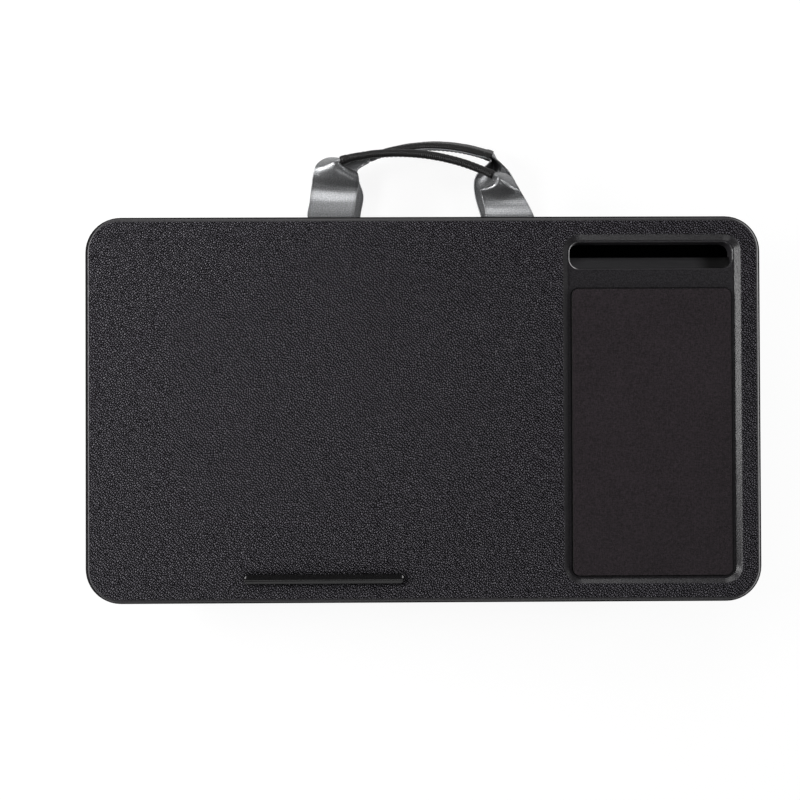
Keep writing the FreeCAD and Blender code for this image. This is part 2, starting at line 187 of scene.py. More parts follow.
boardLook = {
    "half": (0.2667, 0.1524), "corner": 0.028, "plainEdge": 0.0038, "edgeFade": 0.0006, "topLevel": 0.07782,
    "satin": (0.0100, 0.0093, 0.0103, 1), "speck": (0.0310, 0.0290, 0.0322, 1), "specular": 0.38,
    "speckle": {"scale": 1100.0, "range": (0.30, 0.72), "high": 0.12},
    "cloud": {"scale": 14.0, "tint": (0.022, 0.021, 0.025, 1), "share": 0.10},
    "rough": {"rim": 0.46, "inside": -0.16, "groove": 0.26, "crown": -0.25, "cloud": 0.10, "shadedBand": 0.55},
    "grain": {
        "pitch": 0.00142, "lean": math.radians(45), "long": 1.5, "depth": 0.00040, "scatter": 0.85,
        "wander": (240.0, 0.0012), "crown": (0.0, 0.45), "lit": (0.08, 0.34),
        "pebble": (0.0750, 0.0700, 0.0830, 1), "groove": (0.0026, 0.0024, 0.0028, 1),
    },
    "slot": {
        "outline": ((0.1803, 0.1213), (0.0645, 0.0105), 0.008), "wall": (-0.0004, -0.0001),
        "brush": (40.0, 1600.0, 1600.0), "rampShadowRange": (0.214, 0.230), "pocket": (0.1202, 0.1212),
        "rampDark": (0.012, 0.0118, 0.0125, 1), "rampLight": (0.0300, 0.0295, 0.0315, 1),
        "rampEndShadow": (0.002, 0.002, 0.002, 1), "pocketShade": (0.0022, 0.0022, 0.0026, 1),
        "line": 0.0003, "lineWide": (0.0002, 0.0006), "patch": 90.0, "patchHighlight": (0.8, 0.3),
        "leftEnd": (0.1190, 0.1235), "leftHighlight": (1.3, 0.42), "leftBrightEdge": (0.0004, 0.0010),
        "rear": (0.1285, 0.1305), "rightEnd": (0.226, 0.240), "lessHighlight": (1.0, 0.3),
    },
    "rim": {
        "line": 0.0021, "lineWide": (0.0002, 0.0007), "highlightStrength": 0.6, "levels": (0.0738, 0.0752),
        "left": (-0.262, -0.246), "leftShift": 0.0016, "right": (0.240, 0.262), "rightShift": 0.0005,
        "paintedHighlight": (0.0660, 0.0640, 0.0670, 1), "brightHighlight": (0.640, 0.635, 0.645, 1),
        "shadedBand": (-0.0019, -0.0012), "shadedBandShare": 0.75,
    },
    "recess": {
        "outline": ((0.1803, 0.0), (0.0701, 0.1374), 0.0134), "lineWide": (0.0001, 0.0006), "highlightStrength": 0.34,
    },
    "paintedShade": {
        "ledge": ((-0.07825, -0.1324), (0.0621, 0.0034), 0.0026), "ledgeReach": 0.0048, "ledgeShare": 0.62,
        "pad": ((0.1803, -0.0183), (0.06285, 0.1130), 0.005), "padReach": 0.0020, "padShare": 0.75,
    },
}


def roundedReach(tree, place, middle, half, corner):
    # Signed distance, in plan, to a rounded rectangle: negative inside.
    x, y = axesOf(tree, place, "xy")
    flat = add(tree, "ShaderNodeCombineXYZ", {0: x, 1: y})
    away = vectorMaths(tree, "ABSOLUTE", vectorMaths(tree, "SUBTRACT", flat, (*middle, 0.0)))
    away = vectorMaths(tree, "SUBTRACT", away, (half[0] - corner, half[1] - corner, 0.0))
    sideX, sideY = axesOf(tree, away, "xy")
    inner = maths(tree, "MINIMUM", most(tree, sideX, sideY), 0.0)
    outer = vectorMaths(tree, "MAXIMUM", away, (0.0, 0.0, 0.0))
    outer = vectorMaths(tree, "LENGTH", outer, output="Value")
    return maths(tree, "SUBTRACT", maths(tree, "ADD", inner, outer), corner)


def softLine(tree, distance, middle, wide, strength=1.0):
    off = maths(tree, "ABSOLUTE", maths(tree, "SUBTRACT", distance, middle))
    return smooth(tree, off, *wide, strength, 0.0)


def pebbles(tree, place, grain):
    # Leaning cells: how high their crowns stand, and how far they are out of the grooves.
    bent = wander(tree, place, *grain["wander"])
    bent = stretched(tree, bent, (grain["long"], 1.0, 1.0), grain["lean"], "TEXTURE")
    inputs = {"Vector": bent, "Scale": 1 / grain["pitch"], "Randomness": grain["scatter"]}
    cells = add(tree, "ShaderNodeTexVoronoi", inputs, feature="DISTANCE_TO_EDGE", voronoi_dimensions="2D")
    return smooth(tree, cells, *grain["crown"]), smooth(tree, cells, *grain["lit"])


def slotTint(tree, place, tint, inside, edge, slot):
    # Phone slot: brushed ramp with a painted shadow at its right end, and painted shade in the pocket behind
    # it.
    x, y = axesOf(tree, place, "xy")
    sunk = times(tree, smooth(tree, edge, *slot["wall"], 1.0, 0.0), inside)
    brushed = noiseOf(tree, stretched(tree, place, slot["brush"]), 1.0, 3.0)
    ramp = mixColour(tree, brushed, slot["rampDark"], slot["rampLight"])
    ramp = mixColour(tree, smooth(tree, x, *slot["rampShadowRange"]), ramp, slot["rampEndShadow"])
    pocket = times(tree, sunk, smooth(tree, y, *slot["pocket"]))
    tint = mixColour(tree, sunk, tint, ramp)
    return mixColour(tree, pocket, tint, slot["pocketShade"]), pocket


def slotHighlight(tree, place, shown, edge, slot):
    # Painted highlight along the edge of the opening: most at its left end, least at the rear.
    x, y = axesOf(tree, place, "xy")
    line = times(tree, softLine(tree, edge, slot["line"], slot["lineWide"]), shown)
    line = times(tree, line, scaled(tree, noiseOf(tree, place, slot["patch"]), *slot["patchHighlight"]))
    highlightStrength = times(
        tree, smooth(tree, x, *slot["leftEnd"], *slot["leftHighlight"]),
        smooth(tree, y, *slot["rear"], *slot["lessHighlight"]),
        smooth(tree, x, *slot["rightEnd"], *slot["lessHighlight"]),
    )
    return maths(tree, "MULTIPLY", line, highlightStrength, clamp=True)


def rimHighlight(tree, place, reach, rim):
    # Painted highlight as a thin line along the top of the rim, and painted shade in a duller band outside
    # it.
    x, z = axesOf(tree, place, "xz")
    onRim = smooth(tree, z, *rim["levels"])
    at = maths(tree, "ADD", reach, smooth(tree, x, *rim["left"], rim["leftShift"], 0.0))
    at = maths(tree, "ADD", at, smooth(tree, x, *rim["right"], 0.0, rim["rightShift"]))
    line = times(tree, softLine(tree, at, -rim["line"], rim["lineWide"], rim["highlightStrength"]), onRim)
    return line, times(tree, smooth(tree, at, *rim["shadedBand"], 0.0, rim["shadedBandShare"]), onRim)


def paintedShadeMask(tree, place, below, paintedShade):
    # Painted shade round the ledge's foot and in the gap round the pad.
    foot = roundedReach(tree, place, *paintedShade["ledge"])
    foot = smooth(tree, foot, 0.0, paintedShade["ledgeReach"], paintedShade["ledgeShare"], 0.0)
    gap = roundedReach(tree, place, *paintedShade["pad"])
    gap = smooth(tree, gap, 0.0, paintedShade["padReach"], paintedShade["padShare"], 0.0)
    return most(tree, foot, times(tree, gap, below))


def boardMaterial(look):
    material, tree, shader = newMaterial("boardPlastic")
    grain, slot, rim, recess, rough = (look[key] for key in ("grain", "slot", "rim", "recess", "rough"))
    place = objectPlace(tree)
    x, z = axesOf(tree, place, "xz")
    reach = roundedReach(tree, place, (0.0, 0.0), look["half"], look["corner"])
    inside = smooth(tree, reach, -look["plainEdge"] - look["edgeFade"], -look["plainEdge"], 1.0, 0.0)
    grained = times(tree, inside, maths(tree, "GREATER_THAN", z, look["topLevel"]))
    below = maths(tree, "LESS_THAN", z, look["topLevel"])
    crown, lit = pebbles(tree, place, grain)
    speckle = noiseOf(tree, place, look["speckle"]["scale"], 2.0)
    speckle = smooth(tree, speckle, *look["speckle"]["range"])
    cloudy = noiseOf(tree, place, look["cloud"]["scale"], 3.0)
    fine = mixColour(tree, speckle, look["satin"], look["speck"])
    # Grain: lighter pebble crowns and darker grooves, with painted shade in the grooves and painted highlight
    # on the crowns.
    tint = mixColour(tree, lit, grain["groove"], grain["pebble"])
    tint = mixColour(tree, grained, fine, tint)
    tint = mixColour(tree, times(tree, cloudy, look["cloud"]["share"]), tint, look["cloud"]["tint"])
    edge = roundedReach(tree, place, *slot["outline"])
    tint, pocket = slotTint(tree, place, tint, inside, edge, slot)
    # Painted highlight: thin light lines along the slot's edge, the rim and the recess's outer edge.
    paintedHighlight = slotHighlight(tree, place, times(tree, inside, below), edge, slot)
    rimLine, shadedBand = rimHighlight(tree, place, reach, rim)
    lip = roundedReach(tree, place, *recess["outline"])
    paintedHighlight = most(tree, paintedHighlight, rimLine, softLine(tree, lip, 0.0, recess["lineWide"], recess["highlightStrength"]))
    # Painted highlight, brightest on the right rim and at the slot's left end.
    slotEnd = smooth(tree, x, *slot["leftEnd"], 1.0, 0.0)
    slotEnd = times(tree, slotEnd, smooth(tree, edge, *slot["leftBrightEdge"], 1.0, 0.0))
    brightHighlight = most(tree, smooth(tree, x, *rim["right"]), slotEnd)
    tint = mixColour(tree, paintedHighlight, tint, mixColour(tree, brightHighlight, rim["paintedHighlight"], rim["brightHighlight"]))
    # Painted shade round the ledge's foot and beside the pad.
    paintedShade = paintedShadeMask(tree, place, below, look["paintedShade"])
    tint = mixColour(tree, paintedShade, tint, grain["groove"])
    # Painted shade: the band outside the rim's line darker.
    tint = mixColour(tree, shadedBand, tint, grain["groove"])
    feed(tree, shader.inputs["Base Color"], tint)
    hollow = times(tree, maths(tree, "SUBTRACT", 1.0, lit), grained)
    feed(tree, shader.inputs["Metallic"], most(tree, hollow, pocket, shadedBand, paintedShade))  # no shine in the hollows
    matt = scaled(tree, inside, rough["inside"], rough["rim"])
    matt = scaled(tree, scaled(tree, crown, rough["crown"], rough["groove"]), grained, matt)
    matt = scaled(tree, maths(tree, "SUBTRACT", cloudy, 0.5), rough["cloud"], matt)
    feed(tree, shader.inputs["Roughness"], scaled(tree, shadedBand, rough["shadedBand"], matt, clamp=True))
    shader.inputs["Specular IOR Level"].default_value = look["specular"]
    plain = times(tree, maths(tree, "SUBTRACT", 1.0, grained), look["speckle"]["high"])
    bump(tree, shader, scaled(tree, plain, speckle, times(tree, crown, grained)), grain["depth"])
    return material


# Ledge: glossy plastic with fine lengthwise scuffs and painted glints on its rear corners

ledgeLook = {
    "dark": (0.0016, 0.0015, 0.0016, 1), "light": (0.0038, 0.0035, 0.0038, 1), "paintedHighlight": (0.50, 0.495, 0.50, 1),
    "scuff": (60.0, 1400.0, 900.0), "scuffRange": (0.3, 0.8), "rough": (0.12, 0.24),
    "middle": -0.07825, "endGlint": (0.0606, 0.0616), "rearGlint": (-0.1318, -0.1306),
    "highGlint": (0.0795, 0.0812), "ripple": 180.0, "depth": 0.00004,
}


def glossMaterial(look):
    material, tree, shader = newMaterial("ledgeGloss")
    place = objectPlace(tree)
    x, y, z = axesOf(tree, place)
    scuff = noiseOf(tree, stretched(tree, place, look["scuff"]), 1.0, 3.0)
    tint = mixColour(tree, scuff, look["dark"], look["light"])
    fromMiddle = maths(tree, "ABSOLUTE", maths(tree, "SUBTRACT", x, look["middle"]))
    # Painted glints: light spots on top of the ledge's rear corners.
    paintedGlint = times(
        tree, smooth(tree, fromMiddle, *look["endGlint"]), smooth(tree, y, *look["rearGlint"]),
        smooth(tree, z, *look["highGlint"]),
    )
    feed(tree, shader.inputs["Base Color"], mixColour(tree, paintedGlint, tint, look["paintedHighlight"]))
    feed(tree, shader.inputs["Roughness"], smooth(tree, scuff, *look["scuffRange"], *look["rough"]))
    bump(tree, shader, noiseOf(tree, place, look["ripple"], 2.0), look["depth"])
    return material


# Cloth of the pad and of the cushion

clothBase = {
    "wander": (120.0, 0.0010), "contrast": 2.2, "middle": 0.45, "relief": (0.6, 0.4), "cloud": 22.0,
    "cloudShare": 0.25, "edgeShade": 0.15, "rough": (-0.1, 0.92), "specular": 0.25, "sheenRough": 0.5,
}
padKnitLook = clothBase | {
    "dark": (0.0058, 0.0040, 0.0049, 1), "light": (0.0410, 0.0295, 0.0365, 1), "pitch": 0.0013,
    "depth": 0.00028, "ownMap": False, "sheen": 0.08, "fleck": 1.35, "slub": (420.0, 1500.0),
    "shadedEdge": (0.07698, 0.07709),
}
cushionWeaveLook = clothBase | {
    "dark": (0.030, 0.030, 0.033, 1), "light": (0.165, 0.165, 0.174, 1), "pitch": 0.0012,
    "depth": 0.00035, "ownMap": True, "sheen": 0.25, "fleck": 0.55, "slub": (90.0, 900.0),
}


def clothMaterial(name, look):
    # Plain weave of flecked yarns, on the piece's own map or on its place.
    material, tree, shader = newMaterial(name)
    where = ownUv(tree) if look["ownMap"] else objectPlace(tree)
    height, lift = weave(tree, wander(tree, where, *look["wander"]), look["pitch"], look["pitch"])
    slow, quick = look["slub"]
    along = noiseOf(tree, stretched(tree, where, (slow, quick, quick)), 1.0, 3.0)
    cross = noiseOf(tree, stretched(tree, where, (quick, slow, quick)), 1.0, 3.0)
    fleck = scaled(tree, maths(tree, "SUBTRACT", along, cross), lift, cross)
    fleck = maths(tree, "SUBTRACT", fleck, 0.5)
    shade = scaled(tree, fleck, look["contrast"] * look["fleck"], look["middle"])
    shade = maths(tree, "MULTIPLY", shade, scaled(tree, height, *look["relief"]), clamp=True)
    cloudy = maths(tree, "SUBTRACT", noiseOf(tree, where, look["cloud"], 3.0), 0.5)
    shade = scaled(tree, cloudy, look["cloudShare"], shade, clamp=True)
    # Painted shade: the cloth darker on its edge, below the given level.
    if "shadedEdge" in look:
        (level,) = axesOf(tree, where, "z")
        shade = times(tree, shade, smooth(tree, level, *look["shadedEdge"], look["edgeShade"], 1.0))
    feed(tree, shader.inputs["Base Color"], mixColour(tree, shade, look["dark"], look["light"]))
    feed(tree, shader.inputs["Roughness"], scaled(tree, height, *look["rough"]))
    shader.inputs["Specular IOR Level"].default_value = look["specular"]
    shader.inputs["Sheen Weight"].default_value = look["sheen"]
    shader.inputs["Sheen Roughness"].default_value = look["sheenRough"]
    bump(tree, shader, height, look["depth"])
    return material


# Webbing of the loops

webbingLook = {
    "dark": (0.13, 0.133, 0.138, 1), "light": (0.44, 0.446, 0.456, 1), "pitch": (0.0016, 0.0011),
    "streak": (70.0, 1300.0, 1.0), "glint": 850.0, "glintRange": (0.30, 0.70),
    "selvage": (0.0165, 0.0178), "selvageTint": (0.13, 0.13, 0.136, 1), "selvageShare": 0.35,
    "reliefShare": 0.35, "streakShare": 0.3, "glintShare": 0.45,
    "rough": (-0.08, 0.36), "metal": 0.85, "sheen": 0.12, "depth": 0.00012,
}


def webbingMaterial(look):
    # Satin webbing: fine lengthwise yarns crossed by the weft, and firmer selvages.
    material, tree, shader = newMaterial("webbingSatin")
    where = ownUv(tree)
    height = weave(tree, where, *look["pitch"])[0]
    (across,) = axesOf(tree, where, "y")
    selvage = smooth(tree, maths(tree, "ABSOLUTE", across), *look["selvage"])
    streak = noiseOf(tree, stretched(tree, where, look["streak"]), 1.0, 3.0)
    glint = smooth(tree, noiseOf(tree, where, look["glint"], 2.0, 0.7), *look["glintRange"])
    shade = scaled(tree, height, look["reliefShare"], times(tree, streak, look["streakShare"]))
    shade = scaled(tree, glint, look["glintShare"], shade, clamp=True)
    tint = mixColour(tree, shade, look["dark"], look["light"])
    tint = mixColour(tree, times(tree, selvage, look["selvageShare"]), tint, look["selvageTint"])
    feed(tree, shader.inputs["Base Color"], tint)
    feed(tree, shader.inputs["Roughness"], scaled(tree, height, *look["rough"]))
    shader.inputs["Metallic"].default_value = look["metal"]
    shader.inputs["Sheen Weight"].default_value = look["sheen"]
    bump(tree, shader, height, look["depth"])
    return material


# Ribbed cloth of the piping and of the grips

ribBase = {
    "relief": (0.9, 0.3), "fuzz": 900.0, "fuzzHigh": 0.35, "rough": (0.2, 0.30),
    "specular": 0.3, "sheen": 0.015,
}
pipingLook = ribBase | {
    "dark": (0.006, 0.006, 0.0065, 1), "light": (0.034, 0.034, 0.035, 1),
    "pitch": 0.0011, "depth": 0.00012, "slope": 0.8,
}
gripLook = ribBase | {
    "dark": (0.0009, 0.0008, 0.0008, 1), "light": (0.0095, 0.0085, 0.0085, 1),
    "pitch": 0.0016, "depth": 0.00026, "slope": 0.0,
}


def ribbedMaterial(name, look):
    # Ribs across the run, or leaning by the slope.
    material, tree, shader = newMaterial(name)
    where = ownUv(tree)
    along, across = axesOf(tree, where, "xy")
    run = scaled(tree, across, look["slope"], along)
    rib = maths(tree, "ABSOLUTE", maths(tree, "SINE", times(tree, run, math.pi / look["pitch"])))
    fuzz = noiseOf(tree, where, look["fuzz"], 3.0, 0.7)
    shade = maths(tree, "MULTIPLY", scaled(tree, rib, *look["relief"]), fuzz, clamp=True)
    feed(tree, shader.inputs["Base Color"], mixColour(tree, shade, look["dark"], look["light"]))
    feed(tree, shader.inputs["Roughness"], scaled(tree, fuzz, *look["rough"]))
    shader.inputs["Specular IOR Level"].default_value = look["specular"]
    shader.inputs["Sheen Weight"].default_value = look["sheen"]
    bump(tree, shader, scaled(tree, fuzz, look["fuzzHigh"], rib), look["depth"])
    return material


# Thread, steel, hardboard, foam and adhesive film

threadLook = {
    "dark": (0.008, 0.008, 0.008, 1), "light": (0.05, 0.05, 0.05, 1),
    "twist": 3800.0, "rough": (0.3, 0.4), "depth": 0.00008,
}
steelLook = {
    "dark": (0.46, 0.46, 0.47, 1), "light": (0.66, 0.66, 0.65, 1), "stain": 420.0, "stainRange": (0.3, 0.7),
    "rough": (0.24, 0.42), "turned": (300.0, 300.0, 5000.0), "depth": 0.00003,
}
hardboardLook = {
    "dark": (0.085, 0.045, 0.022, 1), "light": (0.24, 0.145, 0.075, 1), "blot": (0.13, 0.075, 0.04, 1),
    "fibre": (420.0, 160.0, 420.0), "fibreRange": (0.25, 0.75), "blotScale": 24.0, "blotShare": 0.4,
    "rough": (0.25, 0.55), "depth": 0.00015,
}
foamBase = {"cells": 1500.0, "rough": (-0.2, 0.95), "depth": 0.0002}
padRubberLook = foamBase | {"dark": (0.006, 0.006, 0.006, 1), "light": (0.022, 0.021, 0.021, 1)}
tapeFoamLook = foamBase | {"dark": (0.34, 0.34, 0.32, 1), "light": (0.6, 0.6, 0.57, 1)}
filmLook = {
    "dark": (0.035, 0.034, 0.032, 1), "light": (0.075, 0.073, 0.068, 1), "cloud": 60.0,
    "cloudRange": (0.2, 0.8), "rough": (0.25, 0.45), "ripple": 900.0, "depth": 0.00004,
}


def threadMaterial(look):
    material, tree, shader = newMaterial("blackThread")
    twist = noiseOf(tree, objectPlace(tree), look["twist"], 2.0, 0.6)
    feed(tree, shader.inputs["Base Color"], mixColour(tree, twist, look["dark"], look["light"]))
    feed(tree, shader.inputs["Roughness"], scaled(tree, twist, *look["rough"]))
    bump(tree, shader, twist, look["depth"])
    return material


def steelMaterial(look):
    material, tree, shader = newMaterial("zincSteel")
    place = objectPlace(tree)
    stain = noiseOf(tree, place, look["stain"], 4.0, 0.6)
    feed(tree, shader.inputs["Base Color"], mixColour(tree, stain, look["dark"], look["light"]))
    feed(tree, shader.inputs["Roughness"], smooth(tree, stain, *look["stainRange"], *look["rough"]))
    shader.inputs["Metallic"].default_value = 1.0
    bump(tree, shader, noiseOf(tree, stretched(tree, place, look["turned"]), 1.0, 2.0), look["depth"])
    return material


def hardboardMaterial(look):
    material, tree, shader = newMaterial("hardboardFibre")
    place = objectPlace(tree)
    fibre = noiseOf(tree, stretched(tree, place, look["fibre"]), 1.0, 5.0, 0.65)
    blot = times(tree, noiseOf(tree, place, look["blotScale"], 3.0), look["blotShare"])
    tint = mixColour(tree, smooth(tree, fibre, *look["fibreRange"]), look["dark"], look["light"])
    feed(tree, shader.inputs["Base Color"], mixColour(tree, blot, tint, look["blot"]))
    feed(tree, shader.inputs["Roughness"], scaled(tree, fibre, *look["rough"]))
    bump(tree, shader, fibre, look["depth"])
    return material


def foamMaterial(name, look):
    material, tree, shader = newMaterial(name)
    cells = add(tree, "ShaderNodeTexVoronoi", {"Vector": objectPlace(tree), "Scale": look["cells"]})
    feed(tree, shader.inputs["Base Color"], mixColour(tree, cells, look["dark"], look["light"]))
    feed(tree, shader.inputs["Roughness"], scaled(tree, cells, *look["rough"]))
    bump(tree, shader, cells, look["depth"])
    return material


def filmMaterial(look):
    material, tree, shader = newMaterial("adhesiveFilm")
    place = objectPlace(tree)
    cloud = noiseOf(tree, place, look["cloud"], 3.0)
    feed(tree, shader.inputs["Base Color"], mixColour(tree, cloud, look["dark"], look["light"]))
    feed(tree, shader.inputs["Roughness"], smooth(tree, cloud, *look["cloudRange"], *look["rough"]))
    bump(tree, shader, noiseOf(tree, place, look["ripple"], 2.0), look["depth"])
    return material


boardPlastic = boardMaterial(boardLook)
ledgeGloss = glossMaterial(ledgeLook)
padKnit = clothMaterial("padKnit", padKnitLook)
cushionWeave = clothMaterial("cushionWeave", cushionWeaveLook)
pipingCloth = ribbedMaterial("pipingCloth", pipingLook)
webbingSatin = webbingMaterial(webbingLook)
gripBinding = ribbedMaterial("gripBinding", gripLook)
blackThread = threadMaterial(threadLook)
zincSteel = steelMaterial(steelLook)
hardboardFibre = hardboardMaterial(hardboardLook)
padRubber = foamMaterial("padRubber", padRubberLook)
tapeFoam = foamMaterial("tapeFoam", tapeFoamLook)
adhesiveFilm = filmMaterial(filmLook)
print("materials ready")


# Mesh helpers

def newObject(name, mesh, material=None):
    piece = bpy.data.objects.new(name, mesh)
    scene.collection.objects.link(piece)
    if material is not None:
        mesh.materials.clear()
        mesh.materials.append(material)
    return piece


def meshOf(name, points, faces, edges=()):
    mesh = bpy.data.meshes.new(name)
    mesh.from_pydata([tuple(p) for p in points], list(edges), [tuple(f) for f in faces])
    mesh.update()
    return mesh


def finishMesh(mesh):
    # Faces point outwards and shade smoothly.
    work = bmesh.new()
    work.from_mesh(mesh)
    bmesh.ops.recalc_face_normals(work, faces=work.faces)
    work.to_mesh(mesh)
    work.free()
    mesh.polygons.foreach_set("use_smooth", [True] * len(mesh.polygons))
    mesh.update()
    return mesh


def modifier(piece, kind, **settings):
    made = piece.modifiers.new(kind.lower(), kind)
    for key, value in settings.items():
        setattr(made, key, value)
    return made


def plainCopy(source, name, material=None):
    # The evaluated shape as a new plain object; the source goes.
    bpy.context.view_layer.update()
    graph = bpy.context.evaluated_depsgraph_get()
    mesh = bpy.data.meshes.new_from_object(source.evaluated_get(graph))
    bpy.data.objects.remove(source)
    mesh.name = name
    return newObject(name, mesh, material)


def pointsOf(mesh):
    flat = np.zeros(len(mesh.vertices) * 3)
    mesh.vertices.foreach_get("co", flat)
    return flat.reshape(-1, 3)


def movePoints(mesh, points):
    mesh.vertices.foreach_set("co", np.asarray(points).reshape(-1))
    mesh.update()


def normalsOf(mesh):
    flat = np.zeros(len(mesh.vertices) * 3)
    mesh.vertex_normals.foreach_get("vector", flat)
    return flat.reshape(-1, 3)


def mapFromPoints(mesh, pairs):
    # Own map from one (u, v) pair for each point.
    layer = mesh.uv_layers.new(name="cut")
    index = np.zeros(len(mesh.loops), dtype=np.int32)
    mesh.loops.foreach_get("vertex_index", index)
    layer.data.foreach_set("uv", np.asarray(pairs)[index].reshape(-1))


def roundedOutline(length, depth, radius, drawIn=0.0, x=0.0, y=0.0, sideSteps=24, cornerSteps=10):
    # Points round a rectangle with rounded corners, its sides drawn in between them.
    halfX, halfY = length / 2 - radius, depth / 2 - radius
    points = []
    for index, (signX, signY) in enumerate(((1, 1), (-1, 1), (-1, -1), (1, -1))):
        for step in range(cornerSteps):
            angle = math.radians(90 * index + 90 * step / cornerSteps)
            outX, outY = radius * math.cos(angle), radius * math.sin(angle)
            points.append((signX * halfX + outX, signY * halfY + outY))
        sideX, sideY = ((0, 1), (-1, 0), (0, -1), (1, 0))[index]
        reach = halfX if sideY else halfY
        for step in range(sideSteps):
            along = reach * (1 - 2 * step / sideSteps)
            inward = drawIn * (1 - (along / reach) ** 2)
            if sideY:
                points.append((sideY * along, sideY * (depth / 2 - inward)))
            else:
                points.append((sideX * (length / 2 - inward), -sideX * along))
    return [(px + x, py + y) for px, py in points]


def levelRing(outline, z):
    # An outline in millimetres as points in metres at one height.
    return [(x * mm, y * mm, z * mm) for x, y in outline]


def skinOf(mesh):
    return BVHTree.FromPolygons([v.co for v in mesh.vertices], [tuple(f.vertices) for f in mesh.polygons])


def ringMesh(name, rings):
    # Closed body from a stack of equal rings, capped at both ends.
    count = len(rings[0])
    points = [p for ring in rings for p in ring]
    faces = []
    for level in range(len(rings) - 1):
        for index in range(count):
            a, b = level * count + index, level * count + (index + 1) % count
            faces.append((a, b, b + count, a + count))
    faces.append(tuple(reversed(range(count))))
    faces.append(tuple(range((len(rings) - 1) * count, len(rings) * count)))
    return meshOf(name, points, faces)


def between(s, first, leave, last, arrive):
    # Smooth way from one point to the next, with its slope at either end.
    return (
        first * (2 * s**3 - 3 * s**2 + 1) + leave * (s**3 - 2 * s**2 + s)
        + last * (3 * s**2 - 2 * s**3) + arrive * (s**3 - s**2)
    )


def throughStations(stations, step):
    # Dense rows on smooth lines through the stations; each station is (outer, middle, inner).
    p = np.array(stations) * mm
    gaps = np.linalg.norm(np.diff(p, axis=0), axis=2).mean(axis=1)
    t = np.concatenate([[0.0], np.cumsum(gaps)])
    slope = np.gradient(p, t, axis=0)
    at = np.linspace(0.0, t[-1], int(t[-1] / step) + 1)
    k = np.clip(np.searchsorted(t, at, side="right") - 1, 0, len(t) - 2)
    h = (t[k + 1] - t[k])[:, None, None]
    s = (at - t[k])[:, None, None] / h
    return between(s, p[k], slope[k] * h, p[k + 1], slope[k + 1] * h)


def unit(vectors):
    return vectors / np.maximum(np.linalg.norm(vectors, axis=-1, keepdims=True), tiny)


# Geometry Nodes helpers

def nodeTool(name, sizes):
    tool = bpy.data.node_groups.new(name, "GeometryNodeTree")
    tool.interface.new_socket("Geometry", in_out="INPUT", socket_type="NodeSocketGeometry")
    for label, value in sizes.items():
        kind = "NodeSocketInt" if isinstance(value, int) else "NodeSocketFloat"
        tool.interface.new_socket(label, in_out="INPUT", socket_type=kind).default_value = value
    tool.interface.new_socket("Geometry", in_out="OUTPUT", socket_type="NodeSocketGeometry")
    return tool, tool.nodes.new("NodeGroupInput").outputs, tool.nodes.new("NodeGroupOutput").inputs


def closeTool(tool, geometry, leave, material):
    real = add(tool, "GeometryNodeRealizeInstances", {0: geometry})
    even = add(tool, "GeometryNodeSetShadeSmooth", {0: real})
    tool.links.new(add(tool, "GeometryNodeSetMaterial", {"Geometry": even, "Material": material}), leave[0])


def runTool(tool, source, values, name, material):
    run = source.modifiers.new("tool", "NODES")
    run.node_group = tool
    for item in tool.interface.items_tree:
        if item.in_out == "INPUT" and item.name in values:
            run[item.identifier] = values[item.name]
    return plainCopy(source, name, material)


def pathObject(paths, closed=True):
    points, edges = [], []
    for path in paths:
        first = len(points)
        points += [tuple(p) for p in path]
        edges += [(i, i + 1) for i in range(first, len(points) - 1)]
        if closed:
            edges.append((len(points) - 1, first))
    return newObject("path", meshOf("path", points, [], edges))


def keepLength(tool, curve, label):
    # Stores how far along its curve each point lies.
    run = add(tool, "GeometryNodeSplineParameter", output="Length")
    inputs = {"Geometry": curve, "Name": label, "Value": run}
    return add(tool, "GeometryNodeStoreNamedAttribute", inputs, data_type="FLOAT", domain="POINT")


def keptLength(tool, label):
    return add(tool, "GeometryNodeInputNamedAttribute", {"Name": label}, data_type="FLOAT")


def pipingTool(material):
    # Round covered cord along a path, with its own running map.
    tool, entry, leave = nodeTool("pipingTool", {"Radius": 0.002, "Step": 0.003, "Sides": 14})
    curve = add(tool, "GeometryNodeMeshToCurve", {"Mesh": entry["Geometry"]})
    curve = add(tool, "GeometryNodeResampleCurve", {"Curve": curve, "Length": entry["Step"]}, mode="LENGTH")
    section = {"Resolution": entry["Sides"], "Radius": entry["Radius"]}
    ring = add(tool, "GeometryNodeCurvePrimitiveCircle", section)
    sides = {"Curve": keepLength(tool, curve, "run"), "Profile Curve": keepLength(tool, ring, "turn")}
    tube = add(tool, "GeometryNodeCurveToMesh", sides)
    pair = add(tool, "ShaderNodeCombineXYZ", {0: keptLength(tool, "run"), 1: keptLength(tool, "turn")})
    inputs = {"Geometry": tube, "Name": "cut", "Value": pair}
    tube = add(tool, "GeometryNodeStoreNamedAttribute", inputs, data_type="FLOAT2", domain="CORNER")
    closeTool(tool, tube, leave, material)
    return tool


def stitchTool(material):
    # Short rounded stitches along a path.
    tool, entry, leave = nodeTool("stitchTool", {"Pitch": 0.004, "Length": 0.003, "Thread": 0.0004})
    curve = add(tool, "GeometryNodeMeshToCurve", {"Mesh": entry["Geometry"]})
    spots = add(
        tool, "GeometryNodeCurveToPoints", {"Curve": curve, "Length": entry["Pitch"]}, mode="LENGTH"
    ).node.outputs
    bead = add(tool, "GeometryNodeMeshUVSphere", {"Segments": 8, "Rings": 5, "Radius": 1.0})
    half = maths(tool, "MULTIPLY", entry["Length"], 0.5)
    size = add(tool, "ShaderNodeCombineXYZ", {0: entry["Thread"], 1: entry["Thread"], 2: half})
    placed = add(
        tool, "GeometryNodeInstanceOnPoints",
        {"Points": spots["Points"], "Instance": bead, "Rotation": spots["Rotation"], "Scale": size},
    )
    closeTool(tool, placed, leave, material)
    return tool


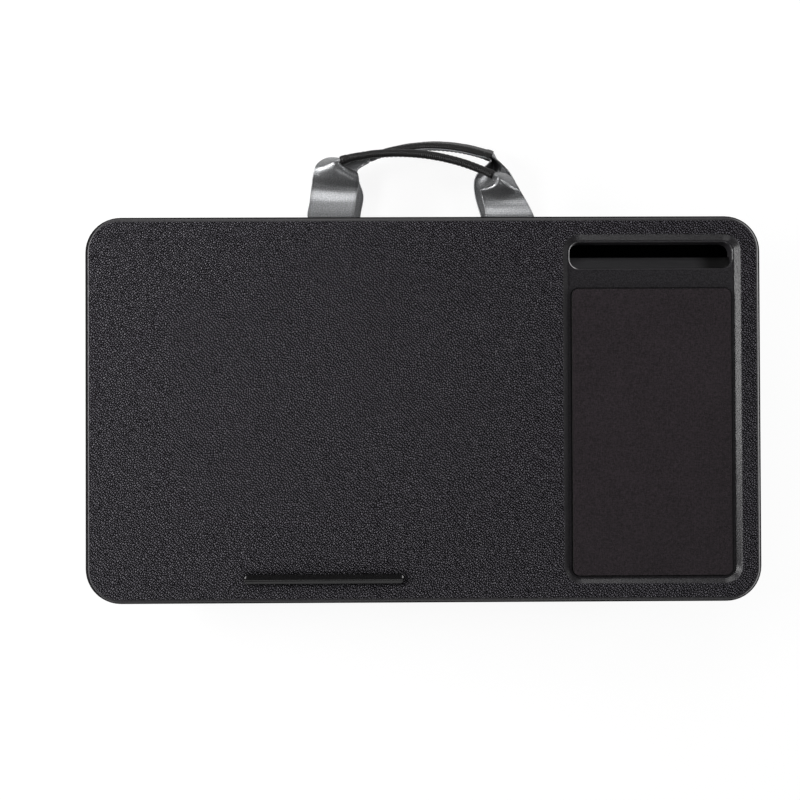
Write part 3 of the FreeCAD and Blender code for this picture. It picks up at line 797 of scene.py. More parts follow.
def copiesAt(template, places, name, material):
    # One mesh with a copy of the template at each place.
    tool, entry, leave = nodeTool(name + "Tool", {"Size": 1.0})
    shape = add(tool, "GeometryNodeObjectInfo", {"Object": template}, "Geometry")
    size = add(tool, "ShaderNodeCombineXYZ", {0: entry["Size"], 1: entry["Size"], 2: entry["Size"]})
    placed = add(
        tool, "GeometryNodeInstanceOnPoints", {"Points": entry["Geometry"], "Instance": shape, "Scale": size}
    )
    closeTool(tool, placed, leave, material)
    made = runTool(tool, newObject("spots", meshOf("spots", places, [])), {"Size": 1.0}, name, material)
    bpy.data.objects.remove(template)
    return made


# Camera, floor and light

view = {
    "from": (0.0, 0.0, 0.82065), "turn": (0.450, -0.381, -0.232), "sensor": 36.0, "lens": 42.507,
    "shift": (-0.03749, 0.00251), "clip": (0.01, 60.0),
}
camera = bpy.data.cameras.new("camera")
camera.sensor_width, camera.lens = view["sensor"], view["lens"]
camera.shift_x, camera.shift_y = view["shift"]
camera.clip_start, camera.clip_end = view["clip"]
eye = bpy.data.objects.new("camera", camera)
eye.location = view["from"]
eye.rotation_euler = [math.radians(angle) for angle in view["turn"]]
scene.collection.objects.link(eye)
scene.camera = eye
scene.view_settings.view_transform = "Standard"

floorLook = {
    "half": 6.0, "level": -0.0004, "dark": (0.115, 0.115, 0.115, 1), "light": (0.125, 0.125, 0.125, 1),
    "grain": 300.0, "glow": (0.91, 1.0), "glowReach": (0.5, 1.8), "mirrored": 0.5,
}


def directSight(tree, mirrored):
    # 1 for what the camera sees straight or through, less where it is mirrored.
    paths = add(tree, "ShaderNodeLightPath").node.outputs
    seen = most(tree, paths["Is Camera Ray"], paths["Is Transmission Ray"])
    return most(tree, seen, times(tree, paths["Is Glossy Ray"], mirrored))


def floorMaterial(look):
    material = bpy.data.materials.new("paleFloor")
    material.use_nodes = True
    tree = material.node_tree
    tree.nodes.clear()
    grain = noiseOf(tree, objectPlace(tree), look["grain"], 2.0)
    matt = add(tree, "ShaderNodeBsdfDiffuse", {"Color": mixColour(tree, grain, look["dark"], look["light"])})
    reach = vectorMaths(tree, "LENGTH", objectPlace(tree), output="Value")
    glow = smooth(tree, reach, *look["glowReach"], *look["glow"])
    glow = times(tree, directSight(tree, look["mirrored"]), glow)
    glow = add(tree, "ShaderNodeEmission", {"Color": (1, 1, 1, 1), "Strength": glow})
    both = add(tree, "ShaderNodeAddShader", {0: matt, 1: glow})
    output = tree.nodes.new("ShaderNodeOutputMaterial")
    tree.links.new(both, output.inputs["Surface"])
    return material


corners = [
    (x * floorLook["half"], y * floorLook["half"], floorLook["level"])
    for x, y in ((-1, -1), (1, -1), (1, 1), (-1, 1))
]
floor = newObject("floor", meshOf("floor", corners, [(0, 1, 2, 3)]), floorMaterial(floorLook))

softboxAim = Vector((0, 0, 0.05))
softboxes = {
    "left": {"at": (-0.85, 0.15, 0.62), "size": (0.55, 0.30), "power": 8.6},
    "lowLeft": {"at": (-1.45, -0.45, 0.42), "size": (1.8, 0.36), "power": 6.0},
    "right": {"at": (1.45, 0.16, 0.90), "size": (0.35, 0.35), "power": 6.5},
    "rear": {"at": (-0.05, 1.45, 1.05), "size": (1.3, 0.8), "power": 12.5},
    "front": {"at": (0.25, -1.6, 0.9), "size": (1.0, 0.4), "power": 4.5},
}
for label, box in softboxes.items():
    lamp = bpy.data.lights.new(label + "Softbox", "AREA")
    lamp.shape = "RECTANGLE"
    lamp.size, lamp.size_y = box["size"]
    lamp.energy = box["power"]
    stand = bpy.data.objects.new(label + "Softbox", lamp)
    stand.location = box["at"]
    aim = softboxAim - Vector(box["at"])
    stand.rotation_euler = aim.to_track_quat("-Z", "Y").to_euler()
    stand.visible_camera = False
    scene.collection.objects.link(stand)

studio = {"wall": 0.7, "ceiling": 0.05, "rise": (0.02, 0.22), "fill": 0.16}
world = bpy.data.worlds.new("studio")
world.use_nodes = True
scene.world = world
sky = world.node_tree
sky.nodes.clear()
(height,) = axesOf(sky, add(sky, "ShaderNodeTexCoord", output="Generated"), "z")
wall = smooth(sky, height, *studio["rise"], studio["wall"], studio["ceiling"])
paths = add(sky, "ShaderNodeLightPath").node.outputs
mirrored = most(sky, paths["Is Glossy Ray"], paths["Is Transmission Ray"])
level = scaled(sky, maths(sky, "SUBTRACT", wall, studio["fill"]), mirrored, studio["fill"])
level = scaled(sky, maths(sky, "SUBTRACT", 1.0, level), paths["Is Camera Ray"], level)
glow = add(sky, "ShaderNodeBackground", {"Color": (1, 1, 1, 1), "Strength": level})
sky.links.new(glow, sky.nodes.new("ShaderNodeOutputWorld").inputs["Surface"])
print("camera and light ready")


# Carried-over solids

carried = {
    "top_panel": boardPlastic, "back_plate": hardboardFibre,
    "mouse_pad_tape": adhesiveFilm, "device_ledge": ledgeGloss,
}
for label, material in carried.items():
    for place in nodes[label].material_slots:
        place.material = material


# Mouse pad: cloth face on rubber foam, with rounded edges

mousePad = {
    "size": (125.7, 226.0), "middle": (180.3, -18.3), "corner": 5.0, "leastCorner": 0.8,
    "cloth": ((76.60, 0.15), (76.75, 0.0), (76.95, 0.05), (77.06, 0.25), (77.10, 0.6), (77.10, 6.0)),
    "foam": ((75.0, 0.25), (75.15, 0.05), (75.8, 0.12), (76.45, 0.05), (76.6, 0.25)),
}


def padBody(name, levels, material):
    rings = []
    for z, inset in levels:
        length, depth = (side - 2 * inset for side in mousePad["size"])
        corner = max(mousePad["corner"] - inset, mousePad["leastCorner"])
        ring = roundedOutline(length, depth, corner, 0.0, *mousePad["middle"], sideSteps=30, cornerSteps=8)
        rings.append(levelRing(ring, z))
    return newObject(name, finishMesh(ringMesh(name, rings)), material)


padCloth = padBody("mousePadCloth", mousePad["cloth"], padKnit)
padFoam = padBody("mousePadFoam", mousePad["foam"], padRubber)
for piece, node, slot in (
    (padCloth, "mouse_pad_cloth", "pad_cloth"),
    (padFoam, "mouse_pad_foam", "pad_foam"),
):
    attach(piece, "desk")
    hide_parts(node)
print("mouse pad ready")


# Foam tape strips under the plate

tapeStrips = {
    "half": 201.7, "width": 30.0, "rows": (-89.4, 0.0, 89.4), "levels": (56.0, 58.0),
    "edge": 0.5, "edgeHigh": 0.4, "corner": 1.2,
}


def stripBodies(spec):
    low, high = spec["levels"]
    edge, rise = spec["edge"], spec["edgeHigh"]
    profile = ((low, edge), (low + rise, 0.0), (high - rise, 0.0), (high, edge))
    work = bmesh.new()
    for row in spec["rows"]:
        rings = []
        for z, inset in profile:
            length, depth = 2 * (spec["half"] - inset), spec["width"] - 2 * inset
            ring = roundedOutline(length, depth, spec["corner"], 0.0, 0.0, row, sideSteps=16, cornerSteps=3)
            rings.append(levelRing(ring, z))
        part = ringMesh("strip", rings)
        work.from_mesh(part)
        bpy.data.meshes.remove(part)
    mesh = bpy.data.meshes.new("foamStrips")
    work.to_mesh(mesh)
    work.free()
    return newObject("foamStrips", finishMesh(mesh), tapeFoam)


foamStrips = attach(stripBodies(tapeStrips), "desk")
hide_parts("cushion_tape")


# Screws and staples

screwForm = {
    "sides": 28, "pitch": 0.6, "leastTurns": 4, "root": 0.8, "tip": 0.35, "tipLong": 0.8, "land": 0.15,
    "pan": ((0.8, 0.0), (0.96, 0.3), (1.0, 0.75), (1.0, 1.0)), "pit": 0.55,
}
plateScrews = {
    "x": (-240.0, -80.0, 80.0, 240.0), "y": (-140.0, 0.0, 140.0), "z": 58.0, "flatHead": True,
    "head": 3.4, "headHigh": 1.9, "shank": 1.5, "long": 12.0, "arm": (1.55, 0.42), "deep": 0.9,
}
ledgeScrews = {
    "x": (-117.45, -39.05), "y": (-132.4,), "z": 73.6, "flatHead": False,
    "head": 3.6, "headHigh": 1.6, "shank": 1.1, "long": 7.55, "arm": (1.5, 0.4), "deep": 0.8,
}


def screwProfile(spec, form):
    # Radius and height of each ring, from the head's face to the point.
    head, high, shank, tall = (spec[key] * mm for key in ("head", "headHigh", "shank", "long"))
    if spec["flatHead"]:
        profile = [(head, 0.0), (head, form["land"] * mm)]
    else:
        profile = [(head * out, high * up) for out, up in form["pan"]]
    profile.append((shank, high))
    turns = max(form["leastTurns"], int((tall - high) / (form["pitch"] * mm)))
    for turn in range(1, turns):
        z = high + (tall - high - form["tipLong"] * mm) * turn / turns
        profile.append((shank if turn % 2 else shank * form["root"], z))
    profile.append((shank * form["tip"], tall))
    return profile


def screwTemplate(spec, form):
    # Head face at the origin, point upwards: cross drive, head, threaded shank.
    work = bmesh.new()
    sides = form["sides"]
    turns = [2 * math.pi * i / sides for i in range(sides)]
    rings = []
    for radius, z in screwProfile(spec, form):
        rings.append([work.verts.new((radius * math.cos(a), radius * math.sin(a), z)) for a in turns])
    for low, up in zip(rings, rings[1:]):
        for i in range(sides):
            work.faces.new((low[i], low[(i + 1) % sides], up[(i + 1) % sides], up[i]))
    work.faces.new(rings[-1])
    arm, half = (v * mm for v in spec["arm"])
    cross = [
        (arm, -half), (arm, half), (half, half), (half, arm), (-half, arm), (-half, half),
        (-arm, half), (-arm, -half), (-half, -half), (-half, -arm), (half, -arm), (half, -half),
    ]
    count = len(cross)
    mouth = [work.verts.new((x, y, 0.0)) for x, y in cross]
    pit = [work.verts.new((x * form["pit"], y * form["pit"], spec["deep"] * mm)) for x, y in cross]
    for i in range(count):
        work.faces.new((mouth[i], mouth[(i + 1) % count], pit[(i + 1) % count], pit[i]))
    work.faces.new(pit)
    rim = [work.edges.get((rings[0][i], rings[0][(i + 1) % sides])) for i in range(sides)]
    rim += [work.edges.get((mouth[i], mouth[(i + 1) % count])) for i in range(count)]
    bmesh.ops.triangle_fill(work, edges=rim, use_beauty=True)
    bmesh.ops.recalc_face_normals(work, faces=work.faces)
    mesh = bpy.data.meshes.new("screwTemplate")
    work.to_mesh(mesh)
    work.free()
    return newObject("screwTemplate", mesh)


def spotsOf(spec):
    return [(x * mm, y * mm, spec["z"] * mm) for x in spec["x"] for y in spec["y"]]


for spec, name, node in (
    (plateScrews, "plateScrews", "plate_screws"),
    (ledgeScrews, "ledgeScrews", "ledge_screws"),
):
    screws = copiesAt(screwTemplate(spec, screwForm), spotsOf(spec), name, zincSteel)
    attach(screws, "desk")
    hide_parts(node)

staples = {
    "x": (-72.6, 72.6), "y": (122.0, 134.0), "z": 56.2, "crown": 10.0, "leg": 3.4, "wire": 0.8, "sides": 8,
    "bend": 0.7, "bendAngles": (0.5, 1.1, math.pi / 2), "legMiddle": 0.6, "tip": 0.35,
}


def stapleTemplate(spec):
    # Crown at the bottom, two legs upwards with pointed ends.
    leg, bend, radius, sides = spec["leg"], spec["bend"], spec["wire"] / 2, spec["sides"]
    half = spec["crown"] / 2 - radius
    line = [(-half, leg - radius), (-half, leg * spec["legMiddle"]), (-half, bend + radius)]
    for angle in spec["bendAngles"]:
        line.append((-half + bend * (1 - math.cos(angle)), radius + bend * (1 - math.sin(angle))))
    line += [(-half / 2, radius), (0.0, radius)]
    line += [(-x, z) for x, z in reversed(line[:-1])]
    rings = []
    for i, (x, z) in enumerate(line):
        before, after = line[max(i - 1, 0)], line[min(i + 1, len(line) - 1)]
        run = Vector((after[0] - before[0], 0, after[1] - before[1])).normalized()
        side = Vector((-run.z, 0, run.x))
        thick = radius * (spec["tip"] if i in (0, len(line) - 1) else 1.0)
        ring = []
        for k in range(sides):
            angle = 2 * math.pi * (k + 0.5) / sides
            offset = side * (thick * math.cos(angle)) + Vector((0, thick * math.sin(angle), 0))
            ring.append(((x + offset.x) * mm, offset.y * mm, (z + offset.z) * mm))
        rings.append(ring)
    return newObject("stapleTemplate", finishMesh(ringMesh("stapleTemplate", rings)))


tailStaples = copiesAt(stapleTemplate(staples), spotsOf(staples), "tailStaples", zincSteel)
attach(tailStaples, "desk")
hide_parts("upper_tail_staples")
print("fasteners ready")


# Cushion: three sewn panels over loose filling, blown up by cloth simulation

cushion = {
    "size": (517.4, 288.8), "tall": 56.0, "corner": 40.0, "leastCorner": 8.0, "drawIn": 3.0,
    "levels": ((0.0, 21.0), (1.1, 14.1), (4.0, 7.6), (9.0, 4.6), (18.5, 1.2), (28.0, 0.0)),
    "start": 2.0, "voxel": 0.005, "frames": 20, "cap": 0.006, "held": 4.2, "press": 1.0,
    "seams": (9.0, 47.0), "startSeam": 6.6, "seamInset": 3.4, "pull": 0.016, "pullEven": 7,
    "groove": 1.3, "grooveWide": 0.0024, "slack": 0.35, "slackRun": (16.0, 16.0, 24.0), "flatFrom": 0.72,
    "pucker": 1.1, "puckerRun": 15.0, "puckerFade": 0.013, "drift": 2.6, "driftRun": (28.0, 90.0),
    "strength": (0.55, 0.45), "strengthRun": (45.0, 70.0), "strengthSeed": 3.0,
    "cloth": {
        "quality": 5, "mass": 0.3, "tension_stiffness": 12.0, "compression_stiffness": 12.0,
        "bending_stiffness": 0.4, "use_pressure": True, "uniform_pressure_force": 4.0,
    },
}
piping = {
    "size": (512.55, 283.95), "corner": 37.58, "drawIn": cushion["drawIn"], "radius": 2.0, "step": 0.003,
}


def cushionStart(spec):
    levels = list(spec["levels"])
    levels += [(spec["tall"] - z, inset) for z, inset in reversed(levels[:-1])]
    rings = []
    for z, inset in levels:
        length, depth = (side - 2 * (inset + spec["start"]) for side in spec["size"])
        corner = max(spec["corner"] - inset, spec["leastCorner"])
        ring = roundedOutline(length, depth, corner, spec["drawIn"], sideSteps=40, cornerSteps=12)
        rings.append(levelRing(ring, z))
    return newObject("cushionStart", finishMesh(ringMesh("cushionStart", rings)))


def seamLines(spec, inset, levels, steps=120):
    length, depth = (side - 2 * inset for side in spec["size"])
    ring = roundedOutline(
        length, depth, spec["corner"] - inset, spec["drawIn"], sideSteps=steps, cornerSteps=30
    )
    return [levelRing(ring, z) for z in levels]


def seamTree(lines):
    # Finds the nearest seam point; with how far along its seam each point lies, and a seam's length.
    tree = KDTree(sum(len(line) for line in lines))
    runs = []
    for line in lines:
        p = np.array(line)
        gaps = np.linalg.norm(np.roll(p, -1, axis=0) - p, axis=1)
        run = np.concatenate([[0.0], np.cumsum(gaps)[:-1]])
        for point, value in zip(line, run):
            tree.insert(point, len(runs))
            runs.append(value)
    tree.balance()
    return tree, runs, float(gaps.sum())


def blownUp(piece, spec):
    # Pressure swells the panels while the seams stay; movement is capped.
    before = pointsOf(piece.data)
    tree = seamTree(seamLines(spec, spec["startSeam"], spec["seams"]))[0]
    held = [i for i, p in enumerate(before) if tree.find(p)[2] < spec["held"] * mm]
    group = piece.vertex_groups.new(name="held")
    group.add(held, 1.0, "REPLACE")
    cloth = modifier(piece, "CLOTH")
    for key, value in spec["cloth"].items():
        setattr(cloth.settings, key, value)
    cloth.settings.vertex_group_mass = "held"
    cloth.settings.effector_weights.gravity = 0.0
    cloth.point_cache.frame_start, cloth.point_cache.frame_end = 1, spec["frames"]
    for frameNow in range(1, spec["frames"] + 1):
        scene.frame_set(frameNow)
    swollen = plainCopy(piece, "cushionBody")
    scene.frame_set(1)
    move = pointsOf(swollen.data) - before
    far = np.linalg.norm(move, axis=1, keepdims=True)
    move *= np.minimum(1.0, spec["cap"] / np.maximum(far, tiny))
    movePoints(swollen.data, before + move)
    swollen.vertex_groups.clear()
    return swollen


def fitted(piece, spec):
    # Brings the body back to its full size and draws its seams out to the piping.
    mesh = piece.data
    points = pointsOf(mesh)
    low, high = points.min(axis=0), points.max(axis=0)
    full = np.array((*spec["size"], spec["tall"] + 2 * spec["press"])) * mm
    points = (points - (low + high) / 2) * full / (high - low) + (0.0, 0.0, spec["tall"] / 2 * mm)
    movePoints(mesh, points)
    skin = skinOf(mesh)
    spots, pulls = [], []
    for line in seamLines(spec, spec["seamInset"], spec["seams"]):
        own = np.array([skin.find_nearest(p)[0] for p in line])
        pull = np.array(line) - own
        reach = range(-spec["pullEven"], spec["pullEven"] + 1)
        pulls.append(sum(np.roll(pull, k, axis=0) for k in reach) / len(reach))
        spots.append(own)
    spots, pulls = np.concatenate(spots), np.concatenate(pulls)
    tree = KDTree(len(spots))
    for index, spot in enumerate(spots):
        tree.insert(spot, index)
    tree.balance()
    for i, p in enumerate(points):
        spot, index, far = tree.find(p)
        points[i] = p + pulls[index] * math.exp(-((far / spec["pull"]) ** 2))
    movePoints(mesh, points)
    print("seams drawn out by up to %.1f mm" % (np.linalg.norm(pulls, axis=1).max() / mm))
    return piece


def sewn(piece, spec):
    # Grooves at the seams and puckers that fade away from them; flat where it rests.
    mesh = piece.data
    points, normals = pointsOf(mesh), normalsOf(mesh)
    tree, runs, total = seamTree(seamLines(spec, spec["seamInset"], spec["seams"]))
    moved = points.copy()
    alongs = np.zeros(len(points))
    (driftAlong, driftUp), (strongAlong, strongUp) = spec["driftRun"], spec["strengthRun"]
    even, uneven = spec["strength"]
    for i, p in enumerate(points):
        spot, index, far = tree.find(p)
        run = alongs[i] = runs[index]
        drift = spec["drift"] * noise.noise((run * driftAlong, spot.z * driftUp, 0.0))
        strength = even + uneven * noise.noise((run * strongAlong, spot.z * strongUp, spec["strengthSeed"]))
        pucker = strength * math.sin(2 * math.pi * run / (spec["puckerRun"] * mm) + drift)
        pucker *= spec["pucker"] * math.exp(-((far / spec["puckerFade"]) ** 2))
        sink = spec["groove"] * math.exp(-((far / spec["grooveWide"]) ** 2))
        slack = spec["slack"] * noise.noise(p * spec["slackRun"])
        moved[i] = p + normals[i] * (pucker - sink + slack) * mm
    moved[:, 2] = np.clip(moved[:, 2], 0.0, spec["tall"] * mm)
    movePoints(mesh, moved)
    layer = mesh.uv_layers.new(name="cut")
    for face in mesh.polygons:
        flat = abs(face.normal.z) > spec["flatFrom"]
        values = [alongs[mesh.loops[corner].vertex_index] for corner in face.loop_indices]
        wrap = max(values) - min(values) > total / 2
        for corner, value in zip(face.loop_indices, values):
            x, y, z = moved[mesh.loops[corner].vertex_index]
            across = value + total if wrap and value < total / 2 else value
            layer.data[corner].uv = (x, y) if flat else (across, z)
    return piece


cushionBody = cushionStart(cushion)
modifier(cushionBody, "REMESH", mode="VOXEL", voxel_size=cushion["voxel"], use_smooth_shade=True)
cushionBody = plainCopy(cushionBody, "cushionBody")
modifier(cushionBody, "SMOOTH", iterations=3, factor=0.5)
cushionBody = plainCopy(cushionBody, "cushionBody")
cushionBody = blownUp(cushionBody, cushion)
modifier(cushionBody, "SMOOTH", iterations=2, factor=0.4)
modifier(cushionBody, "SUBSURF", levels=1, render_levels=1)
cushionBody = plainCopy(cushionBody, "cushionBody", cushionWeave)
cushionBody = sewn(fitted(cushionBody, cushion), cushion)
finishMesh(cushionBody.data)
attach(cushionBody, "desk")
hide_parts("cushion_top_cloth", "cushion_side_cloth", "cushion_bottom_cloth", "cushion_filling")
print("cushion ready", len(cushionBody.data.polygons), "faces")

pipeRun = pipingTool(pipingCloth)
lowSeam, highSeam = cushion["seams"]
for name, node, level in (
    ("upperPiping", "cushion_upper_piping", highSeam),
    ("lowerPiping", "cushion_lower_piping", lowSeam),
):
    line = seamLines(piping, 0.0, (level,), steps=60)
    values = {"Radius": piping["radius"] * mm, "Step": piping["step"]}
    pipe = runTool(pipeRun, pathObject(line), values, name, pipingCloth)
    finishMesh(pipe.data)
    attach(pipe, "desk")
    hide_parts(node)

seamStitches = {
    "offset": 4.6, "inset": 2.0, "lift": 0.00015, "Pitch": 0.0042, "Length": 0.0030, "Thread": 0.00042,
}


def stitchLines(piece, levels, spec):
    # Lines laid on the cushion's skin beside the piping.
    skin = skinOf(piece.data)
    lines = []
    for line in seamLines(cushion, spec["inset"], levels, steps=90):
        laid = []
        for p in line:
            spot, normal, index, far = skin.find_nearest(p)
            laid.append(tuple(spot + normal * spec["lift"]))
        lines.append(laid)
    return lines


stitchRun = stitchTool(blackThread)
levels = (lowSeam + seamStitches["offset"], highSeam - seamStitches["offset"])
stitches = pathObject(stitchLines(cushionBody, levels, seamStitches))
stitches = runTool(stitchRun, stitches, seamStitches, "cushionStitches", blackThread)
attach(stitches, "desk")
print("piping and stitches ready")


# Carrying loops: one webbing strap each, flat at the roots and folded lengthwise in the grip

upperLoop = {
    "tail": {"y": (114.0, 128.0, 146.0, 152.0), "z": 57.0, "x": (-72.9, 72.2), "half": 19.0},
    "left": (
        ((-93.0, 155.5, 57.0), (-74.0, 155.5, 57.0), (-55.5, 155.5, 57.0)),
        ((-91.5, 168.5, 55.5), (-73.0, 168.0, 55.5), (-54.5, 167.5, 55.5)),
        ((-90.0, 183.5, 53.0), (-72.0, 182.0, 53.0), (-53.0, 180.0, 53.5)),
        ((-88.5, 190.5, 56.5), (-71.0, 188.5, 59.0), (-52.0, 184.5, 57.0)),
        ((-86.5, 196.5, 58.0), (-71.0, 193.0, 63.5), (-52.0, 188.0, 58.5)),
        ((-83.0, 201.5, 54.5), (-70.5, 196.5, 65.5), (-53.5, 192.0, 56.5)),
        ((-78.0, 205.0, 51.0), (-69.5, 198.0, 66.0), (-57.0, 195.0, 52.5)),
        ((-73.0, 206.0, 49.0), (-68.0, 199.0, 66.0), (-62.5, 196.5, 50.0)),
        ((-67.5, 205.5, 48.5), (-66.0, 199.5, 65.5), (-67.5, 201.5, 48.5)),
    ),
    "right": (
        ((90.0, 155.5, 57.0), (70.5, 155.5, 57.0), (51.5, 155.5, 57.0)),
        ((86.0, 165.0, 55.0), (68.0, 165.0, 55.0), (50.0, 164.5, 55.0)),
        ((81.0, 174.5, 53.5), (65.0, 174.0, 55.0), (48.0, 174.0, 54.5)),
        ((78.0, 179.0, 55.0), (63.5, 178.5, 60.5), (47.0, 178.5, 56.0)),
        ((75.5, 183.5, 53.5), (62.5, 181.5, 64.0), (52.0, 181.5, 52.5)),
        ((73.5, 188.0, 51.0), (61.5, 184.0, 65.5), (56.5, 184.0, 49.5)),
        ((67.5, 192.5, 49.0), (60.0, 186.0, 65.5), (60.0, 186.0, 48.5)),
        ((58.0, 193.5, 48.5), (56.5, 187.5, 65.5), (57.5, 189.5, 48.5)),
    ),
    "apex": (-15.8, 205.6, 65.6), "drop": -17.0, "lean": (4.5, 4.4), "gape": 2.05,
}
lowerLoop = {
    "tail": {"y": (127.8, 136.0, 145.6, 156.0), "z": 12.0, "x": (-72.9, 72.0), "half": 19.0},
    "left": (
        ((-91.5, 164.5, 12.0), (-72.5, 164.5, 12.0), (-54.0, 164.5, 11.0)),
        ((-89.5, 185.0, 12.5), (-70.0, 185.5, 11.5), (-51.5, 185.5, 11.5)),
        ((-89.0, 193.0, 13.5), (-70.5, 194.5, 11.0), (-54.0, 193.0, 14.0)),
        ((-87.5, 201.0, 15.5), (-70.0, 202.0, 10.0), (-56.0, 200.0, 16.5)),
        ((-82.5, 207.5, 18.5), (-67.0, 208.0, 9.0), (-55.5, 203.5, 19.5)),
        ((-74.0, 212.0, 22.0), (-62.5, 212.0, 9.0), (-51.5, 206.0, 22.5)),
        ((-61.0, 212.5, 24.5), (-55.5, 214.5, 8.5), (-46.0, 208.5, 24.5)),
        ((-47.0, 214.0, 25.0), (-47.0, 216.5, 8.5), (-45.0, 210.0, 25.0)),
    ),
    "right": (
        ((88.0, 164.5, 12.0), (69.0, 165.0, 12.0), (50.0, 165.0, 12.0)),
        ((83.0, 184.5, 12.5), (64.0, 185.0, 11.5), (44.5, 185.5, 12.5)),
        ((80.0, 191.0, 14.5), (62.5, 191.5, 11.0), (44.0, 191.0, 14.0)),
        ((77.0, 196.5, 17.5), (61.5, 199.0, 10.0), (44.5, 196.5, 16.5)),
        ((73.0, 201.5, 20.5), (61.0, 205.5, 9.0), (47.0, 200.5, 19.5)),
        ((68.5, 205.5, 23.0), (61.0, 210.5, 9.0), (50.5, 203.5, 22.5)),
        ((64.0, 209.0, 25.0), (61.0, 215.5, 8.5), (55.0, 206.5, 24.5)),
        ((59.0, 213.0, 25.0), (60.5, 219.5, 8.5), (57.5, 209.5, 25.0)),
    ),
    "apex": (7.2, 227.9, 8.6), "drop": 16.6, "lean": (-4.5, -8.3), "gape": 2.05,
}
strapBuild = {
    "step": 0.0015, "thick": 1.35, "rim": 0.35, "crease": 0.007, "halfWide": 0.019, "rimWide": 0.0193,
    "arcStations": 9, "across": (0.0, 0.012, 0.04, *np.linspace(0.1, 0.9, 11), 0.96, 1.0),
}
gripBuild = {
    "wide": 6.2, "tall": 19.2, "corner": 3.0, "step": 0.0016, "arcStations": 15,
    "mouthIn": -1.0, "mouthDeep": 0.004, "lipIn": -0.9,
    "hem": 0.35, "hemLong": 5.0, "hemFade": 0.8, "endRound": 0.5,
    "wrinkle": 0.22, "wrinkleHigh": 0.25, "fold": (110.0, 0.05, 0.2), "foldSeed": 4.0,
    "fine": (260.0, 0.11), "fineShare": 0.6,
}


def circleThrough(a, b, c):
    (ax, ay), (bx, by), (cx, cy) = a[:2], b[:2], c[:2]
    d = 2 * (ax * (by - cy) + bx * (cy - ay) + cx * (ay - by))
    sa, sb, sc = ax * ax + ay * ay, bx * bx + by * by, cx * cx + cy * cy
    x = (sa * (by - cy) + sb * (cy - ay) + sc * (ay - by)) / d
    y = (sa * (cx - bx) + sb * (ax - cx) + sc * (bx - ax)) / d
    return x, y, math.hypot(ax - x, ay - y)


def gripStations(spec, count):
    # Stations on the grip's arc from left to right: outer edge, crease, inner edge.
    left, right = spec["left"][-1][1], spec["right"][-1][1]
    x, y, radius = circleThrough(left, spec["apex"], right)
    first, last = math.atan2(left[1] - y, left[0] - x), math.atan2(right[1] - y, right[0] - x)
    stations = []
    for i in range(count):
        share = i / (count - 1)
        angle = first + (last - first) * share
        out = np.array((math.cos(angle), math.sin(angle), 0.0))
        crease = np.array((x, y, left[2] + (right[2] - left[2]) * share)) + out * radius
        lean = spec["lean"][0] + (spec["lean"][1] - spec["lean"][0]) * share
        edges = crease + out * lean + np.array((0, 0, spec["drop"]))
        gape = out * spec["gape"]
        stations.append((tuple(edges + gape), tuple(crease), tuple(edges - gape)))
    return stations


def loopStations(spec, arcStations):
    tail = spec["tail"]
    z = tail["z"]
    sides = []
    for name, x, half in zip(("left", "right"), tail["x"], (-tail["half"], tail["half"])):
        roots = [((x + half, y, z), (x, y, z), (x - half, y, z)) for y in tail["y"]]
        sides.append(roots + list(spec[name]))
    return sides[0] + gripStations(spec, arcStations)[1:-1] + sides[1][::-1]


def strapMesh(name, spec, build):
    rails = throughStations(loopStations(spec, build["arcStations"]), build["step"])
    outer, middle, inner = rails[:, 0], rails[:, 1], rails[:, 2]
    span = inner - outer
    wide = np.linalg.norm(span, axis=1, keepdims=True)
    turn = span / np.maximum(wide, tiny) * np.maximum(wide * 0.5, build["crease"])
    half = np.array(build["across"])
    back = half[::-1][1:]
    rows = [between(s, outer, middle - outer, middle, turn) for s in half]
    rows += [between(s, middle, turn, inner, inner - middle) for s in 1 - back]
    grid = np.stack(rows, axis=1)  # along, across, xyz
    along = np.gradient(grid, axis=0)
    across = np.gradient(grid, axis=1)
    normal = unit(np.cross(across, along))
    edge = unit(across)
    thick = build["thick"] / 2 * mm
    upper, lower = grid + normal * thick, grid - normal * thick
    firstRim = grid[:, :1] - edge[:, :1] * build["rim"] * mm
    lastRim = grid[:, -1:] + edge[:, -1:] * build["rim"] * mm
    ring = np.concatenate([upper, lastRim, lower[:, ::-1], firstRim], axis=1)
    count, size = ring.shape[:2]
    wideRow = (np.concatenate([half, 2 - back]) - 1) * build["halfWide"]
    v = np.concatenate([wideRow, [build["rimWide"]], wideRow[::-1], [-build["rimWide"]]])
    u = np.concatenate([[0.0], np.cumsum(np.linalg.norm(np.diff(middle, axis=0), axis=1))])
    pairs = np.stack(np.meshgrid(u, v, indexing="ij"), axis=2).reshape(-1, 2)
    faces = []
    for a in range(count - 1):
        for b in range(size):
            c = (b + 1) % size
            faces.append((a * size + b, a * size + c, (a + 1) * size + c, (a + 1) * size + b))
    wideCount = len(wideRow)
    for base in (0, (count - 1) * size):
        for b in range(wideCount - 1):
            faces.append((base + b, base + b + 1, base + 2 * wideCount - 1 - b, base + 2 * wideCount - b))
        faces.append((base + wideCount - 1, base + wideCount, base + wideCount + 1))
        faces.append((base, base + 2 * wideCount, base + 2 * wideCount + 1))
    mesh = meshOf(name, ring.reshape(-1, 3), faces)
    finishMesh(mesh)
    mapFromPoints(mesh, pairs)
    return mesh


